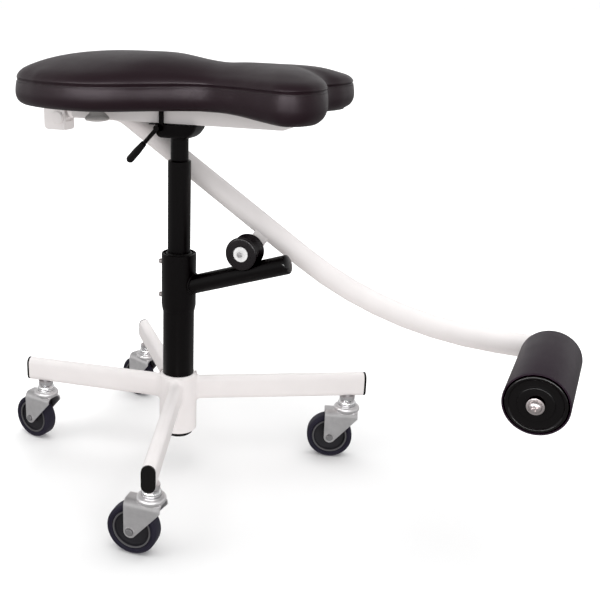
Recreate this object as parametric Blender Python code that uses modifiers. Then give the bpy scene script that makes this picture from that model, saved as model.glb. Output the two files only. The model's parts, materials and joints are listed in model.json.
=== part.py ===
"""Leg lifter: a height-adjustable pad on a wheeled column, with a leg roller on a hinged lever.

The lever hangs from a hinge under the left end of the pad and rests through a
grooved roller on an inclined rail that is clamped to the fixed column. When
the pad rises, the lever turns down and lowers the long leg roller.
Units are metres. X runs along the lever towards the leg roller, Z is up.
"""
import math

import bmesh
import bpy
from mathutils import Matrix, Vector

GAP = 0.0003
EASE = 0.0010
EASE_L = 0.0015
PAST = 0.0100
SEG_L = 28
SEG_M = 20
SEG_TUBE = 18
SEG_WHEEL = 24
SEG_BOLT = 16
SEG_S = 12
SHARP = math.radians(34)

# Wheels and castors, from the floor up
WHEEL_R = 0.0375
TYRE_T = 0.0083
TYRE_IN_R = WHEEL_R - TYRE_T
TYRE_HALF = 0.0118
TYRE_ROUND = 0.0045
RIM_HALF = 0.0092
RIM_T = 0.0030
WEB_HALF = 0.0040
HUB_HALF = 0.0132
HUB_R = 0.0095
AXLE_R = 0.0032
AXLE_HEAD_R = 0.0054
AXLE_HEAD = 0.0031
FORK_IN = 0.0138
FORK_T = 0.0024
TRAIL = 0.0262
FORK_FRONT = 0.0180
FORK_BACK = 0.0092
FORK_SHOULDER = 0.0120
FORK_ABOVE = 0.0105
FORK_TOP = 2 * WHEEL_R + FORK_ABOVE
FORK_PLATE = 0.0030
HEAD_R = 0.0205
HEAD_H = 0.0180
HEAD_TOP = FORK_TOP + HEAD_H
# radius and depth below the top, down the domed swivel head
HEAD_PROFILE = ((0.0, 0.0), (0.0120, 0.0), (0.0152, 0.0032), (0.0165, 0.0078), (HEAD_R, 0.0095),
                (HEAD_R, 0.0120))
STEM_R = 0.0050
STEM_COLLAR_R = 0.0125
STEM_COLLAR = 0.0065

# Base cross of flat-oval tube
ARM_HALF_H = 0.0200
ARM_HALF_W = 0.0100
ARM_Z = HEAD_TOP + STEM_COLLAR + ARM_HALF_H
STEM_TOP = ARM_Z - 0.3 * ARM_HALF_H
ARM_WALL = 0.0018
CAP_T = 0.0032
CAP_PLUG = 0.0120
FRONT_INSET = 0.0280
REAR_INSET = 0.0300
CROSS_TURN = -20.0
FRONT_SPREAD = 50.5
REAR_SPREAD = 29.8
FRONT_LEN = 0.3110
LEFT_LEN = 0.2700
FAR_LEN = 0.2870
# name: (turn of the arm, length to the cap's face, castor's distance from it, direction in which it trails)
ARMS = {
    "right": (CROSS_TURN + FRONT_SPREAD, FRONT_LEN, FRONT_INSET, 199.0),
    "near": (CROSS_TURN - FRONT_SPREAD, FRONT_LEN, FRONT_INSET, 186.0),
    "left": (CROSS_TURN + 180.0 + REAR_SPREAD, LEFT_LEN, REAR_INSET, 172.0),
    "far": (CROSS_TURN + 180.0 - REAR_SPREAD, FAR_LEN, REAR_INSET, 159.0),
}

# Hub and column, each height taken from the piece below
HUB_TUBE_R = 0.0306
HUB_BELOW = 0.0715
HUB_ABOVE = 0.0270
HUB_BOTTOM = ARM_Z - HUB_BELOW
HUB_TOP = ARM_Z + HUB_ABOVE
HUB_EASE = 0.0035
OUTER_R = 0.0250
OUTER_WALL = 0.0025
OUTER_LIFT = 0.0075
OUTER_LEN = 0.2915
OUTER_BOTTOM = HUB_BOTTOM + OUTER_LIFT
OUTER_TOP = OUTER_BOTTOM + OUTER_LEN
MID_R = 0.0180
MID_WALL = 0.0034
MID_LIFT = 0.0540
MID_RISE = 0.1485
MID_BOTTOM = OUTER_BOTTOM + MID_LIFT
MID_TOP = OUTER_TOP + MID_RISE
BUSH_LIP_R = 0.0197
BUSH_SKIRT = 0.0022
BUSH_LIP = 0.0030
BUSH_LEN = 0.0500
FOOT_LEN = 0.0180
FOOT_FLOOR = 0.0040
PLUG_R = 0.0246
PLUG_T = 0.0075
PLUG_TAPER = 0.0020
PLUG_DEPTH = 0.0060
CYL_R = 0.0140
CYL_LIFT = 0.0400
CYL_RISE = 0.0515
CYL_CONE = 0.0200
CYL_TAPER = 0.0012
CYL_BOTTOM = MID_BOTTOM + CYL_LIFT
CYL_TOP = MID_TOP + CYL_RISE
CYL_BORE_R = 0.0056
ROD_R = 0.0050
ROD_REACH = 0.2400
CYL_STROKE = 0.0700

# Clamped collar with its inclined rail
COLLAR_R = 0.0275
COLLAR_ABOVE = 0.0023
COLLAR_LEN = 0.0948
COLLAR_TOP = OUTER_TOP + COLLAR_ABOVE
COLLAR_BOTTOM = COLLAR_TOP - COLLAR_LEN
COLLAR_TAPER = 0.0085
RAIL_R = 0.0150
RAIL_WALL = 0.0020
RAIL_SLOPE = math.radians(19.0)
RAIL_DROP = 0.0583
RAIL_Z0 = COLLAR_TOP - RAIL_DROP
RAIL_TAIL = 0.0680
RAIL_PLUG = 0.0120
# share of the rail's radius and height, over the domed end
RAIL_DOME = ((0.0, 0.0050), (0.45, 0.0046), (0.78, 0.0034), (0.96, 0.0020))
SCREW_DROPS = (0.0182, 0.0739)
SCREW_R = 0.0040
SCREW_SHANK_R = 0.0024
SCREW_OUT = 0.0075

# Pressed pan on the cylinder's cone: left end, right end, half width, corner radius and depth of each level
PAN_ABOVE = 0.0050
PAN_TOP = CYL_TOP + PAN_ABOVE
PAN_LEVELS = ((-0.0340, 0.0365, 0.0225, 0.0080, 0.0), (-0.0335, 0.0330, 0.0222, 0.0080, 0.0090),
              (-0.0325, 0.0270, 0.0212, 0.0075, 0.0160), (-0.0290, 0.0205, 0.0190, 0.0065, 0.0205),
              (-0.0230, 0.0170, 0.0165, 0.0060, 0.0217))
PAN_HALF = PAN_LEVELS[0][2]
PAN_WALL = 0.0025
PAN_LIP_X = -0.0420
PAN_LIP_T = 0.0020
STRAP_X = -0.0290
STRAP_HALF = 0.0040
STRAP_T = 0.0025
STRAP_LAP = 0.0120

# Carrier and board
CARRIER_X = (-0.1850, 0.1800)
CARRIER_Y = (-0.0155, 0.0175)
CARRIER_DEPTH = 0.0257
CARRIER_BOTTOM = PAN_TOP + GAP
CARRIER_WALL = 0.0025
CARRIER_CORNER = 0.0100
CARRIER_BACK = 0.0050
BOARD_Z = CARRIER_BOTTOM + CARRIER_DEPTH
BOARD_T = 0.0080
BOARD_INSET = 0.0160
BUFFER = (-0.1210, -0.0420)
BUFFER_DROP = 0.0250
BUFFER_T = 0.0080
BUFFER_R = 0.0190
BUFFER_STEM_R = 0.0045
# shares of the buffer's radius and thickness, from its back face round to its front
BUFFER_EDGE = ((0.68, 0.92), (0.94, 0.69), (1.0, 0.52), (0.92, 0.30), (0.63, 0.08))

# Pad, from the board's underside up
PAD_RECESS_INSET = 0.0150
PAD_TUCK = 0.0080
PAD_BAND = 0.0370
PAD_CROWN = 0.0415
PAD_DROP = 0.0110
PAD_DROP_X = (-0.0500, 0.0700)
PAD_BAND_TOP = BOARD_Z + PAD_BAND
PAD_PIPE = 0.0006
PAD_OUTLINE = ((-0.262, 0.0), (-0.2535, 0.053), (-0.230, 0.100), (-0.182, 0.132), (-0.130, 0.148),
               (-0.083, 0.151), (-0.040, 0.136), (0.008, 0.101), (0.062, 0.072), (0.120, 0.086),
               (0.172, 0.108), (0.209, 0.122), (0.2345, 0.109), (0.2465, 0.075), (0.242, 0.040), (0.228, 0.0))
PAD_SPINE = (-0.110, 0.155)
# steps from the edge to the middle line, and how full the crown's curve is
PAD_STEPS = (0.03, 0.09, 0.19, 0.34, 0.54, 0.78, 1.0)
PAD_FULLNESS = 0.56

# Hinge under the pad's left end
HINGE_X = -0.2428
HINGE_DROP = 0.0340
HINGE = (HINGE_X, BOARD_Z - HINGE_DROP)
KNUCKLE_R = 0.0120
EAR_T = 0.0100
PIN_R = 0.0048
PIN_CAP_R = 0.0110
PIN_CAP_T = 0.0035
BLOCK_LEFT = 0.0282
BLOCK_RIGHT = 0.0128
BLOCK_BELOW = 0.0205
BLOCK_CORNER = 0.0070
BLOCK_CORNER_S = 0.0030
BLOCK_HALF_W = 0.0150
CHEEK_T = 0.0045

# Lever tube: hinge, first bend, straight, long bend, level end
LEVER_Y = 0.0450
LEVER_R = 0.0168
LEVER_WALL = 0.0022
LEVER_RISE = 0.0163
LEVER_NECK = 0.0198
LEVER_TOP_Z = HINGE[1] + LEVER_RISE
LEVER_START_X = HINGE_X + LEVER_NECK
LEVER_CORNER_X = -0.1267
LEVER_TILT = math.radians(33.0)
LEVER_BEND_R = 0.0550
LEVER_LONG_X = 0.1900
LEVER_LONG_R = 0.5300
LEVER_END_X = 0.5760

# Grooved roller that rides on the rail, on a tab under the lever
TAB_REACH = 0.0348
TAB_Y = (0.0298, 0.0358)
TAB_HALF_W = 0.0120
GUIDE_HALF = 0.0175
GUIDE_FLANGE_R = 0.0255
GUIDE_GROOVE_R = 0.0170
GUIDE_HUB_R = 0.0117
GUIDE_AXLE_R = 0.0048
GUIDE_NUT_R = 0.0080
GUIDE_NUT = 0.0050
GUIDE_SCREW_R = 0.0038
GUIDE_SCREW = 0.0022
GUIDE_SINK = 0.0035
# distances from the groove's middle to the points of its curve, as shares of the rail's radius
GROOVE_STEPS = (0.0, 0.36, 0.66, 0.87)

# Leg roller
ROLL_INSET = 0.0235
ROLL_X = LEVER_END_X - ROLL_INSET
ROLL_DROP = 0.0027
ROLL_R = 0.0393
ROLL_EDGE = 0.0050
ROLL_LEN = 0.1745
ROLL_Y1 = 0.0240
ROLL_BORE_R = 0.0170
ROLL_CAP_R = 0.0312
ROLL_RECESS = 0.0045
ROLL_BOSS_R = 0.0221
ROLL_BOSS = 0.0040
ROLL_AXLE_R = 0.0060
ROLL_WASHER_R = 0.0105
ROLL_WASHER_T = 0.0020
ROLL_HEAD_R = 0.0066
ROLL_HEAD = 0.0055
ROLL_NUT = 0.0065

# Release lever
HANDLE_X = -0.0250
HANDLE_DROP = 0.0063
HANDLE_SLOPE = math.radians(226.7)
HANDLE_LEN = 0.0332
HANDLE_SOCKET = 0.0180
HANDLE_R = 0.0034
HANDLE_BOSS_R = 0.0050
HANDLE_PIN_R = 0.0018
GRIP_LEN = 0.0416
GRIP_R = 0.0062
GRIP_NECK = 0.78
GRIP_BELLY = 0.45

COLOURS = {
    "black_paint": ((0.012, 0.012, 0.013), 0.0, 0.38),
    "white_paint": ((0.80, 0.78, 0.76), 0.0, 0.35),
    "black_plastic": ((0.015, 0.014, 0.014), 0.0, 0.45),
    "zinc": ((0.55, 0.55, 0.57), 1.0, 0.35),
    "tyre_rubber": ((0.045, 0.042, 0.065), 0.0, 0.6),
    "grey_plastic": ((0.20, 0.20, 0.22), 0.0, 0.5),
    "black_vinyl": ((0.022, 0.018, 0.019), 0.0, 0.42),
    "bolt_steel": ((0.62, 0.62, 0.63), 1.0, 0.28),
    "white_nylon": ((0.86, 0.86, 0.85), 0.0, 0.4),
    "dark_rubber": ((0.10, 0.10, 0.105), 0.0, 0.7),
    "board_black": ((0.02, 0.02, 0.02), 0.0, 0.6),
}


def clear_scene():
    for ob in list(bpy.data.objects):
        bpy.data.objects.remove(ob, do_unlink=True)


def make_materials():
    made = {}
    for name, (colour, metallic, rough) in COLOURS.items():
        mat = bpy.data.materials.new(name)
        mat.use_nodes = True
        shader = mat.node_tree.nodes["Principled BSDF"]
        shader.inputs["Base Color"].default_value = (*colour, 1.0)
        shader.inputs["Metallic"].default_value = metallic
        shader.inputs["Roughness"].default_value = rough
        made[name] = mat
    return made


class Builder:
    """Keeps the part's collection and materials, and turns bmeshes into named objects."""

    def __init__(self):
        self.mats = make_materials()
        self.col = bpy.data.collections.new("leg_lifter")
        bpy.context.scene.collection.children.link(self.col)

    def add(self, name, bm, slot, origin=(0.0, 0.0, 0.0)):
        """Object whose mesh keeps its place while its origin sits at the given point."""
        bmesh.ops.remove_doubles(bm, verts=bm.verts, dist=1e-6)
        bmesh.ops.recalc_face_normals(bm, faces=bm.faces)
        bmesh.ops.translate(bm, verts=bm.verts, vec=-Vector(origin))
        mesh = bpy.data.meshes.new(name)
        bm.to_mesh(mesh)
        bm.free()
        ob = bpy.data.objects.new(name, mesh)
        ob.location = origin
        self.col.objects.link(ob)
        mesh.materials.append(self.mats[slot])
        shade(ob)
        return ob

    def combine(self, ob, tool, operation):
        """Apply one exact Boolean to ob and delete the tool body."""
        mat = ob.data.materials[0]
        mod = ob.modifiers.new("combine", "BOOLEAN")
        mod.operation = operation
        mod.solver = "EXACT"
        mod.object = tool
        mesh = evaluated_mesh(ob)
        ob.modifiers.clear()
        old = ob.data
        ob.data = mesh
        bpy.data.meshes.remove(old)
        mesh.name = ob.name
        bpy.data.objects.remove(tool, do_unlink=True)
        mesh.materials.clear()
        mesh.materials.append(mat)
        shade(ob)

    def body(self, name, bm, slot, origin=(0.0, 0.0, 0.0), join=(), cut=()):
        """Object with welded-on bodies joined and holes cut."""
        ob = self.add(name, bm, slot, origin)
        for tool in join:
            self.combine(ob, self.add("tool", tool, slot), "UNION")
        for tool in cut:
            self.combine(ob, self.add("tool", tool, slot), "DIFFERENCE")
        return ob


def evaluated_mesh(ob):
    bpy.context.view_layer.update()
    deps = bpy.context.evaluated_depsgraph_get()
    return bpy.data.meshes.new_from_object(ob.evaluated_get(deps))


def shade(ob):
    ob.data.shade_smooth()
    ob.data.set_sharp_from_angle(angle=SHARP)


def arc(cx, cz, radius, start, end, steps):
    """Points on an arc, angles in degrees."""
    pts = []
    for i in range(steps + 1):
        a = math.radians(start + (end - start) * i / steps)
        pts.append((cx + radius * math.cos(a), cz + radius * math.sin(a)))
    return pts


def lathe(profile, segments, closed=False):
    """Turned body about Z from (radius, height) points; an open profile starts and ends on the axis."""
    bm = bmesh.new()
    verts = [bm.verts.new((r, 0.0, z)) for r, z in profile]
    edges = [bm.edges.new(pair) for pair in zip(verts, verts[1:])]
    if closed:
        edges.append(bm.edges.new((verts[-1], verts[0])))
    bmesh.ops.spin(bm, geom=verts + edges, cent=(0, 0, 0), axis=(0, 0, 1), angle=math.tau,
                   steps=segments, use_merge=True)
    bmesh.ops.remove_doubles(bm, verts=bm.verts, dist=1e-6)
    return bm


def ring(outer, inner, z0, z1, segments, ease=0.0):
    """Tube section about Z, its outer edges eased where a size is given."""
    if ease:
        rim = [(outer - ease, z1), (outer, z1 - ease), (outer, z0 + ease), (outer - ease, z0)]
    else:
        rim = [(outer, z1), (outer, z0)]
    return lathe([(inner, z1), *rim, (inner, z0)], segments, closed=True)


def rod(radius, z0, z1, segments, ease=0.0):
    if ease:
        rim = [(radius - ease, z1), (radius, z1 - ease), (radius, z0 + ease), (radius - ease, z0)]
    else:
        rim = [(radius, z1), (radius, z0)]
    return lathe([(0, z1), *rim, (0, z0)], segments)


def box(x0, x1, y0, y1, z0, z1):
    bm = bmesh.new()
    middle = Matrix.Translation(((x0 + x1) / 2, (y0 + y1) / 2, (z0 + z1) / 2))
    bmesh.ops.create_cube(bm, size=1.0, matrix=middle @ Matrix.Diagonal((x1 - x0, y1 - y0, z1 - z0, 1.0)))
    return bm


def move(bm, matrix):
    bmesh.ops.transform(bm, matrix=matrix, verts=bm.verts)
    return bm


def along_y(bm, x, z, y=0.0):
    """Turn a body made about Z so that its Z points along -Y, with the axis at (x, z)."""
    return move(bm, Matrix.Translation((x, y, z)) @ Matrix.Rotation(math.pi / 2, 4, "X"))


def along(bm, start, end):
    """Place a body made about Z so that Z runs from start towards end."""
    start = Vector(start)
    turn = Vector((0, 0, 1)).rotation_difference(Vector(end) - start).to_matrix().to_4x4()
    return move(bm, Matrix.Translation(start) @ turn)


def prism(points, low, high, plane):
    """Straight extrusion of an outline that is drawn in the XZ, XY or YZ plane."""
    place = {
        "XZ": lambda u, v, w: (u, w, v),
        "XY": lambda u, v, w: (u, v, w),
        "YZ": lambda u, v, w: (w, u, v),
    }[plane]
    bm = bmesh.new()
    face = bm.faces.new([bm.verts.new(place(u, v, low)) for u, v in points])
    made = bmesh.ops.extrude_face_region(bm, geom=[face])
    moved = [g for g in made["geom"] if isinstance(g, bmesh.types.BMVert)]
    bmesh.ops.translate(bm, verts=moved, vec=place(0.0, 0.0, high - low))
    return bm


def oval_bar(half_w, half_h, x0, x1, steps=8):
    """Flat-oval bar along X: straight sides, round top and bottom."""
    straight = half_h - half_w
    outline = arc(0, straight, half_w, 0, 180, steps) + arc(0, -straight, half_w, 180, 360, steps)
    return prism(outline, x0, x1, "YZ")


def tube(path, radius, wall=0.0):
    """Tube on a curve through (x, z) points, hollow where a wall is given and solid where not."""
    curve = bpy.data.curves.new("path", "CURVE")
    curve.dimensions = "3D"
    curve.bevel_depth = radius
    curve.bevel_resolution = (SEG_TUBE - 4) // 2
    curve.use_fill_caps = not wall
    spline = curve.splines.new("POLY")
    spline.points.add(len(path) - 1)
    for point, (x, z) in zip(spline.points, path):
        point.co = (x, 0.0, z, 1.0)
    ob = bpy.data.objects.new("path", curve)
    bpy.context.scene.collection.objects.link(ob)
    if wall:
        mod = ob.modifiers.new("wall", "SOLIDIFY")
        mod.thickness = wall
        mod.offset = -1.0
    mesh = evaluated_mesh(ob)
    bm = bmesh.new()
    bm.from_mesh(mesh)
    bpy.data.objects.remove(ob, do_unlink=True)
    bpy.data.curves.remove(curve)
    bpy.data.meshes.remove(mesh)
    return bm


def lever_path():
    """Level start, short bend, sloping straight, long bend and level end."""
    drop = LEVER_TILT
    setback = LEVER_BEND_R * math.tan(drop / 2)
    path = [(LEVER_START_X, LEVER_TOP_Z)]
    cx, cz = LEVER_CORNER_X - setback, LEVER_TOP_Z - LEVER_BEND_R
    for i in range(4):
        a = drop * i / 3
        path.append((cx + LEVER_BEND_R * math.sin(a), cz + LEVER_BEND_R * math.cos(a)))
    z0 = lever_z(LEVER_LONG_X)
    for i in range(8):
        a = drop * (1 - i / 7)
        x = LEVER_LONG_X + LEVER_LONG_R * (math.sin(drop) - math.sin(a))
        path.append((x, z0 - LEVER_LONG_R * (math.cos(a) - math.cos(drop))))
    path.append((LEVER_END_X, path[-1][1]))
    return path


def lever_z(x):
    """Height of the lever's axis on its sloping straight."""
    return LEVER_TOP_Z - (x - LEVER_CORNER_X) * math.tan(LEVER_TILT)


def rail_z(x):
    return RAIL_Z0 + x * math.tan(RAIL_SLOPE)


def guide_centre():
    """Axis of the grooved roller: one groove radius above the rail, one tab's reach below the lever."""
    lift = (RAIL_R + GAP + GUIDE_GROOVE_R) / math.cos(RAIL_SLOPE)
    height = lever_z(0.0) - TAB_REACH / math.cos(LEVER_TILT) - rail_z(0.0) - lift
    x = height / (math.tan(LEVER_TILT) + math.tan(RAIL_SLOPE))
    return x, rail_z(x) + lift


def spin_point(angle, radius):
    a = math.radians(angle)
    return radius * math.cos(a), radius * math.sin(a)


def build_hub(b):
    bore = OUTER_R + GAP
    tube_profile = [(bore, HUB_TOP), (HUB_TUBE_R - HUB_EASE, HUB_TOP), (HUB_TUBE_R, HUB_TOP - HUB_EASE),
                    (HUB_TUBE_R, HUB_BOTTOM + EASE_L), (HUB_TUBE_R - EASE_L, HUB_BOTTOM), (bore, HUB_BOTTOM)]
    b.add("base_hub", lathe(tube_profile, SEG_L, closed=True), "white_paint")
    flange = HUB_BOTTOM - GAP
    top = OUTER_BOTTOM + PLUG_DEPTH
    inside = OUTER_R - OUTER_WALL - GAP
    foot = flange - PLUG_T
    plug = [(0, top), (inside - EASE, top), (inside, top - EASE), (inside, flange), (PLUG_R, flange),
            (PLUG_R, foot + PLUG_TAPER), (PLUG_R - PLUG_TAPER, foot), (0, foot)]
    b.add("hub_plug", lathe(plug, SEG_M), "black_plastic")


def build_arms(b):
    inside = ARM_WALL + GAP
    for name, (turn, length, stem, _) in ARMS.items():
        spin = Matrix.Rotation(math.radians(turn), 4, "Z") @ Matrix.Translation((0, 0, ARM_Z))
        end = length - CAP_T
        arm = move(oval_bar(ARM_HALF_W, ARM_HALF_H, 0.0, end - GAP), spin)
        hollow = move(oval_bar(ARM_HALF_W - ARM_WALL, ARM_HALF_H - ARM_WALL, -PAST, length), spin)
        hub_cut = rod(HUB_TUBE_R + GAP, ARM_Z - ARM_HALF_H - PAST, ARM_Z + ARM_HALF_H + PAST, SEG_L)
        stem_cut = rod(STEM_R + GAP, ARM_Z - ARM_HALF_H - PAST, ARM_Z, SEG_S)
        stem_cut = move(stem_cut, Matrix.Translation((*spin_point(turn, length - stem), 0)))
        b.body(f"arm_{name}", arm, "white_paint", cut=(hollow, hub_cut, stem_cut))
        cap = move(oval_bar(ARM_HALF_W, ARM_HALF_H, end, length), spin)
        plug = move(oval_bar(ARM_HALF_W - inside, ARM_HALF_H - inside, end - CAP_PLUG, end + EASE), spin)
        b.body(f"arm_cap_{name}", cap, "black_plastic", join=(plug,))


def fork_side():
    """Side view of the fork: a tapered leg from the swivel head down to the wheel's axle."""
    axle_x = -TRAIL
    side = [(axle_x - FORK_BACK, FORK_TOP), (axle_x - FORK_BACK, WHEEL_R)]
    side += arc(axle_x, WHEEL_R, FORK_BACK, 180, 325, 7)[1:]
    side += [(FORK_FRONT, FORK_TOP - FORK_SHOULDER), (FORK_FRONT, FORK_TOP)]
    return side


def build_fork(b, name, place, swivel):
    half = FORK_IN + FORK_T
    fork = prism(fork_side(), -half, half, "XZ")
    dome = [(r, HEAD_TOP - depth) for r, depth in HEAD_PROFILE]
    dome += [(HEAD_R - EASE_L, FORK_TOP - EASE), (0, FORK_TOP - EASE)]
    reach = TRAIL + WHEEL_R + PAST
    slot = box(-reach, reach, -FORK_IN, FORK_IN, -PAST, FORK_TOP - FORK_PLATE)
    kingpin = rod(STEM_R + GAP, FORK_TOP - FORK_PLATE - PAST, HEAD_TOP + PAST, SEG_S)
    axle_hole = along_y(rod(AXLE_R + GAP, -half - PAST, half + PAST, SEG_S), -TRAIL, WHEEL_R)
    b.body(f"fork_{name}", move(fork, place), "zinc", swivel, join=(move(lathe(dome, SEG_TUBE), place),),
           cut=[move(tool, place) for tool in (slot, kingpin, axle_hole)])


def build_wheel(b, name, place):
    """Bolt, core and tyre, turned about the wheel's axle."""
    axis = place @ Vector((-TRAIL, 0, WHEEL_R))

    def on_axle(profile, segments, closed=False):
        return move(along_y(lathe(profile, segments, closed), -TRAIL, WHEEL_R), place)

    face = FORK_IN + FORK_T + GAP
    top = face + AXLE_HEAD
    bolt = [(0, top), (AXLE_HEAD_R - EASE, top), (AXLE_HEAD_R, top - EASE), (AXLE_HEAD_R, face),
            (AXLE_R, face), (AXLE_R, -face), (AXLE_HEAD_R, -face), (AXLE_HEAD_R, -top), (0, -top)]
    b.add(f"wheel_bolt_{name}", on_axle(bolt, SEG_S), "bolt_steel", axis)
    rim = TYRE_IN_R - GAP
    half = [(AXLE_R + GAP, HUB_HALF), (HUB_R, HUB_HALF), (HUB_R, WEB_HALF), (rim - RIM_T - EASE_L, WEB_HALF),
            (rim - RIM_T, RIM_HALF), (rim, RIM_HALF)]
    b.add(f"wheel_core_{name}", on_axle(half + mirrored(half), SEG_TUBE, True), "grey_plastic", axis)
    crown = [(TYRE_IN_R, TYRE_HALF - EASE), (TYRE_IN_R + RIM_T, TYRE_HALF)]
    crown += arc(WHEEL_R - TYRE_ROUND, TYRE_HALF - TYRE_ROUND, TYRE_ROUND, 62, 12, 1)
    b.add(f"tyre_{name}", on_axle(crown + mirrored(crown), SEG_WHEEL, True), "tyre_rubber", axis)


def mirrored(profile):
    """The same profile on the other side of the middle, in reverse order."""
    return [(r, -z) for r, z in reversed(profile)]


def build_castors(b):
    for name, (turn, length, stem, trail) in ARMS.items():
        x, y = spin_point(turn, length - stem)
        place = Matrix.Translation((x, y, 0)) @ Matrix.Rotation(math.radians(trail - 180.0), 4, "Z")
        swivel = (x, y, 0.0)
        seat = ARM_Z - ARM_HALF_H - GAP
        foot = FORK_TOP - FORK_PLATE
        pin = [(0, STEM_TOP), (STEM_R - EASE, STEM_TOP), (STEM_R, STEM_TOP - EASE), (STEM_R, seat),
               (STEM_COLLAR_R, seat), (STEM_COLLAR_R, HEAD_TOP + GAP), (STEM_R, HEAD_TOP + GAP),
               (STEM_R, foot), (0, foot)]
        b.add(f"castor_stem_{name}", move(lathe(pin, SEG_S), place), "bolt_steel", swivel)
        build_fork(b, name, place, swivel)
        build_wheel(b, name, place)


def build_column(b):
    outer_in = OUTER_R - OUTER_WALL
    b.add("outer_column", ring(OUTER_R, outer_in, OUTER_BOTTOM, OUTER_TOP, SEG_L), "black_paint")
    b.add("mid_column", ring(MID_R, MID_R - MID_WALL, MID_BOTTOM, MID_TOP, SEG_L, EASE), "black_paint")
    bore = MID_R + GAP
    sleeve = outer_in - GAP
    lip = OUTER_TOP + GAP
    bush = [(bore, lip + BUSH_LIP), (BUSH_LIP_R, lip + BUSH_LIP), (BUSH_LIP_R + EASE, lip + BUSH_LIP - EASE),
            (BUSH_LIP_R + BUSH_SKIRT, lip), (sleeve, lip - BUSH_SKIRT), (sleeve, lip - BUSH_LEN),
            (bore, lip - BUSH_LEN)]
    b.add("guide_bush", lathe(bush, SEG_M, closed=True), "black_plastic")
    foot = MID_BOTTOM - GAP
    floor = foot - FOOT_FLOOR
    cup = [(bore, foot + FOOT_LEN), (sleeve, foot + FOOT_LEN), (sleeve, floor), (ROD_R + GAP, floor),
           (ROD_R + GAP, foot), (bore, foot)]
    b.add("column_foot", lathe(cup, SEG_M, closed=True), "black_plastic")
    tip = CYL_BOTTOM + ROD_REACH
    b.add("piston_rod", rod(ROD_R, OUTER_BOTTOM + PLUG_DEPTH + GAP, tip, SEG_S, EASE), "bolt_steel")
    end = tip + CYL_STROKE
    cylinder = [(0, end), (CYL_BORE_R, end), (CYL_BORE_R, CYL_BOTTOM), (CYL_R - EASE, CYL_BOTTOM),
                (CYL_R, CYL_BOTTOM + EASE), (CYL_R, CYL_TOP - CYL_CONE), (CYL_R - CYL_TAPER, CYL_TOP),
                (0, CYL_TOP)]
    b.add("gas_cylinder", lathe(cylinder, SEG_M), "black_paint", (0, 0, CYL_BOTTOM))


def build_collar(b):
    """Sleeve on the outer tube with two threaded holes, and the rail tube welded to it."""
    end_x = guide_centre()[0] + RAIL_TAIL
    start = Vector((0, 0, rail_z(0)))
    end = Vector((end_x, 0, rail_z(end_x)))
    run = (end - start).length
    bore = OUTER_R + GAP
    sleeve = [(bore, COLLAR_TOP), (COLLAR_R - EASE, COLLAR_TOP), (COLLAR_R, COLLAR_TOP - EASE),
              (COLLAR_R, COLLAR_BOTTOM + COLLAR_TAPER), (bore + EASE / 2, COLLAR_BOTTOM),
              (bore, COLLAR_BOTTOM)]
    collar = b.add("rail_collar", lathe(sleeve, SEG_L, closed=True), "black_paint")
    for drop in SCREW_DROPS:
        hole = rod(SCREW_SHANK_R + GAP, 0, COLLAR_R + PAST, SEG_S)
        hole = move(hole, Matrix.Rotation(math.pi / SEG_S, 4, "Z"))
        z = COLLAR_TOP - drop
        b.combine(collar, b.add("hole", along(hole, (0, 0, z), (-1, 0, z)), "black_paint"), "DIFFERENCE")
    rail = b.body("rail", along(rod(RAIL_R, 0, run, SEG_M), start, end), "black_paint",
                  cut=(rod((bore + COLLAR_R) / 2, COLLAR_BOTTOM, COLLAR_TOP, SEG_L),))
    b.combine(collar, rail, "UNION")
    hollow = along(rod(RAIL_R - RAIL_WALL, COLLAR_R + RAIL_PLUG, run + PAST, SEG_M), start, end)
    b.combine(collar, b.add("hollow", hollow, "black_paint"), "DIFFERENCE")
    inside = RAIL_R - RAIL_WALL - GAP
    dome = [(RAIL_R * share, height) for share, height in RAIL_DOME]
    dome += [(RAIL_R, GAP), (inside, GAP), (inside, -RAIL_PLUG), (0, -RAIL_PLUG)]
    b.add("rail_cap", along(lathe(dome, SEG_M), end, end + (end - start)), "black_plastic")
    build_clamp_screws(b)


def build_clamp_screws(b):
    tip = OUTER_R + GAP
    head = COLLAR_R + GAP
    top = COLLAR_R + SCREW_OUT
    screw = [(0, top), (SCREW_R - EASE, top), (SCREW_R, top - EASE), (SCREW_R, head), (SCREW_SHANK_R, head),
             (SCREW_SHANK_R, tip), (0, tip)]
    for i, drop in enumerate(SCREW_DROPS, 1):
        z = COLLAR_TOP - drop
        b.add(f"clamp_screw_{i}", along(lathe(screw, SEG_S), (0, 0, z), (-1, 0, z)), "bolt_steel")


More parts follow.
